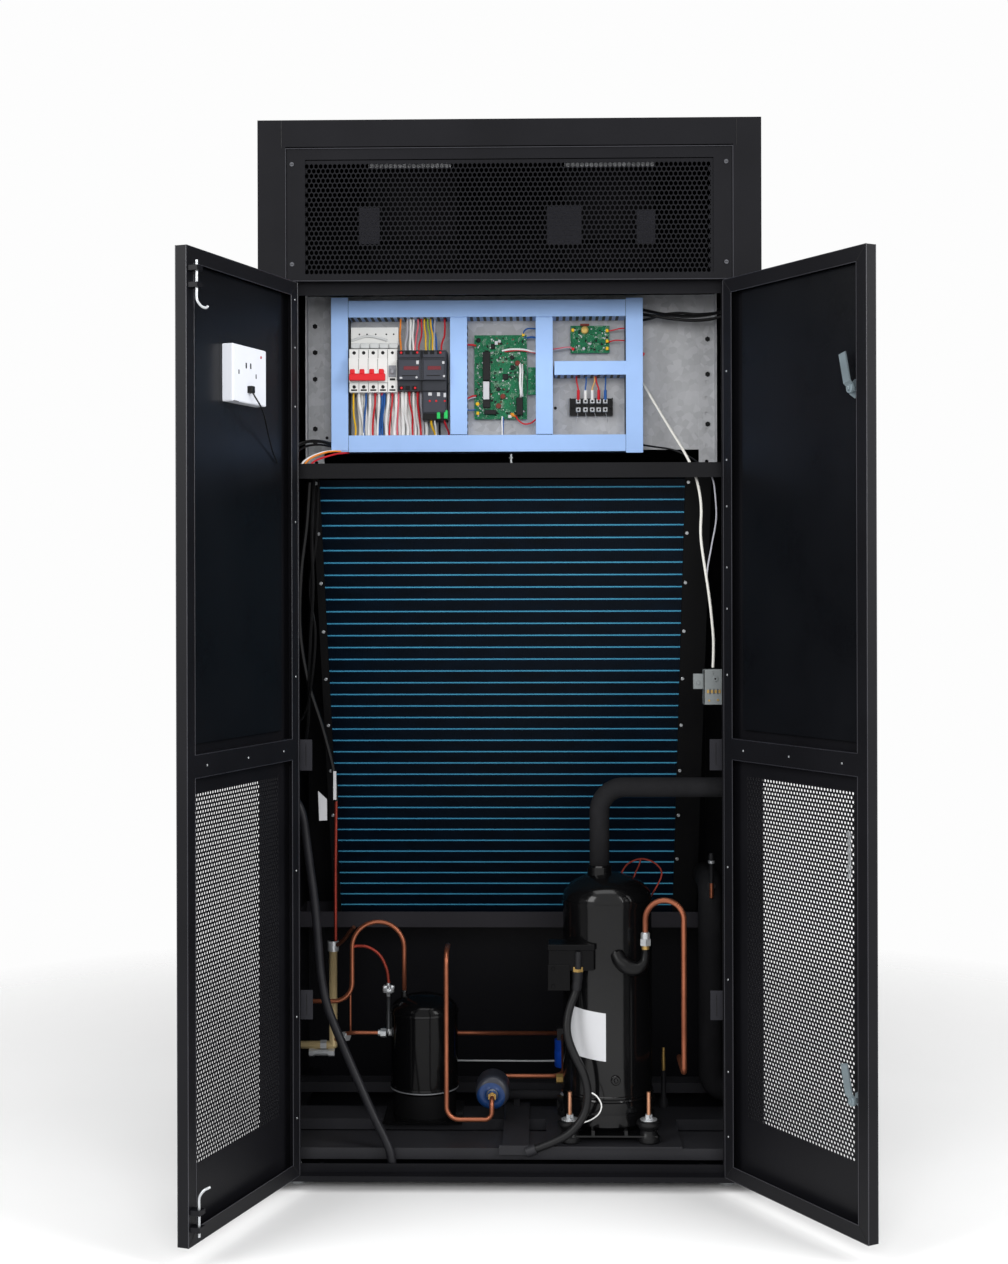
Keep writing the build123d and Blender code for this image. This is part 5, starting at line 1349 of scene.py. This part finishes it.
addPiece("receiverValveKnob", [star((-242, -75, 287), 9.5, 2.6, 5, 6),
                               disc((-242, -75, 293), 3.4, 5, (0, 0, 1), 14),
                               disc((-257, -75, 201), 8.6, 11, (1, 0, 0), 6),
                               disc((-262, -75, 201), 6, 6, (1, 0, 0), 20)],
         zinc)
addPiece("chargeTube", [
    pipe(smoothLine([(-312, -75, 366), (-302, -75, 369), (-280, -77, 367), (-258, -79, 352),
                     (-245, -79, 326), (-241, -76, 298)]), 3.1, 12),
    pipe(smoothLine([(-350, -20, 366), (-350, -20, 420), (-350, -20, 500), (-349, -21, 580),
                     (-348, -22, 648)]), 3.4, 12),
], oxideRed)
addPiece("lowCopper", [
    pipe(smoothLine([(-250, -75, 201), (-286, -75, 201), (-316, -73, 200), (-336, -52, 190),
                     (-350, -24, 176)]), 4, 12),
    pipe(smoothLine([(-318, -50, 196), (-318, -50, 240), (-318, -50, 290), (-316, -58, 320),
                     (-313, -68, 334)]), 2.1, 8),
], copper)
addPiece("crossTube",
         [pipe(smoothLine([(-309, -66, 404), (-316, -58, 396), (-332, -42, 374), (-346, -28, 362)]), 3.8,
               12)],
         copperFinish("dullCopper", rgb(104, 66, 50), 0.4))
addPiece("lowFittings", [
    disc((-330, -62, 192), 9, 12, (0.7, -0.6, 0), 6), disc((-394, -24, 150), 6.5, 34, (1, 0, 0), 16),
    disc((-402, -24, 150), 8.4, 10, (1, 0, 0), 6),
    disc((-364, -24, 150), 8.4, 12, (1, 0, 0), 6), disc((-380, -20, 164), 9.6, 12, (1, 0, 0), 6),
    disc((-355, -20, 349), 10.6, 20, (0, 0, 1), 24),
], zinc)
addWires("wallCables", [
    ("black", 4.6, [(-348, -22, 644), (-352, -26, 700), (-372, -46, 790), (-396, -74, 880),
                    (-408, -104, 980), (-402, -134, 1090), (-388, -160, 1180),
                    (-380, -176, 1262)]),
    ("black", 3.4, [(-364, -236, 1262), (-368, -240, 1160), (-366, -240, 1060), (-372, -236, 960),
                    (-376, -220, 880), (-384, -180, 800),
                    (-404, -130, 740), (-446, -110, 700)]),
    ("black", 2.6, [(-356, -230, 1262), (-360, -238, 1150), (-372, -238, 1060), (-362, -238, 980),
                    (-370, -230, 890), (-392, -190, 820), (-446, -150, 780)]),
])
tagEdges = np.array([[[x, y, z] for y in (-61, -59.8)] for x,
                     z in ((-379, 668), (-362, 652), (-361.5, 611), (-377, 610))])
addPiece("wiringTag", [surface(tagEdges.transpose(1, 0, 2)),
                       blocks([(-350, -344, -56, -54.6, 650, 706)], 0.4)], paper,
         smooth=False)

addPiece("drierNut", [disc((-38, -194, 112), 8.6, 9, (0, -1, 0), 6),
                      disc((-38, -203, 112), 6, 6, (0, -1, 0), 20),
                      disc((83, -70, 112), 9.4, 13, (1, 0, 0), 6)], brass)
addPiece("drierWeld", [disc((-38, -186, 112), 11, 5, (0, -1, 0), 24, 2)],
         platedFinish("dullSteel", rgb(120, 124, 132), 0.4))
addPiece("insulatedPipe", [pipe([(-20, -44, 74), (-19, -44, 74), (110, -44, 74)], 9.4, 20),
                           blocks([(0, 12, -50, -38, 45.4, 66), (84, 96, -50, -38, 45.4, 66)], 0.5)],
         foam)
addPiece("thinPipe", [pipe(smoothLine([(-172, -14, 103), (-172, 50, 103), (-160, 92, 103),
                                       (-120, 100, 103), (76, 100, 103), (94, 100, 108), (98, 100, 124)]),
                           1.9, 8)], zinc)
addPiece("testValve", [pipe([(387, -34, 456), (387, -34, 470), (387, -34, 486)], [4, 4, 4], 14)], copper)
addPiece("testValveBody", [turned([(4.2, 485), (4.2, 520), (5.4, 522), (5.4, 538), (4, 543)],
                                  (387, -34, 0), (0, 0, 1), 20)], rubber)
addPiece("testValveRing", [turned([(5.6, 0), (6.6, 1), (6.6, 5), (5.6, 6)], (387, -34, 523), (0, 0, 1),
                                  20)], zinc)
addPiece("elbowCap", [disc((387, -27, 478), 9, 3.4, (0, -1, 0), 24),
                      disc((387, -30, 478), 4, 2.4, (0, -1, 0), 16)], rubber)
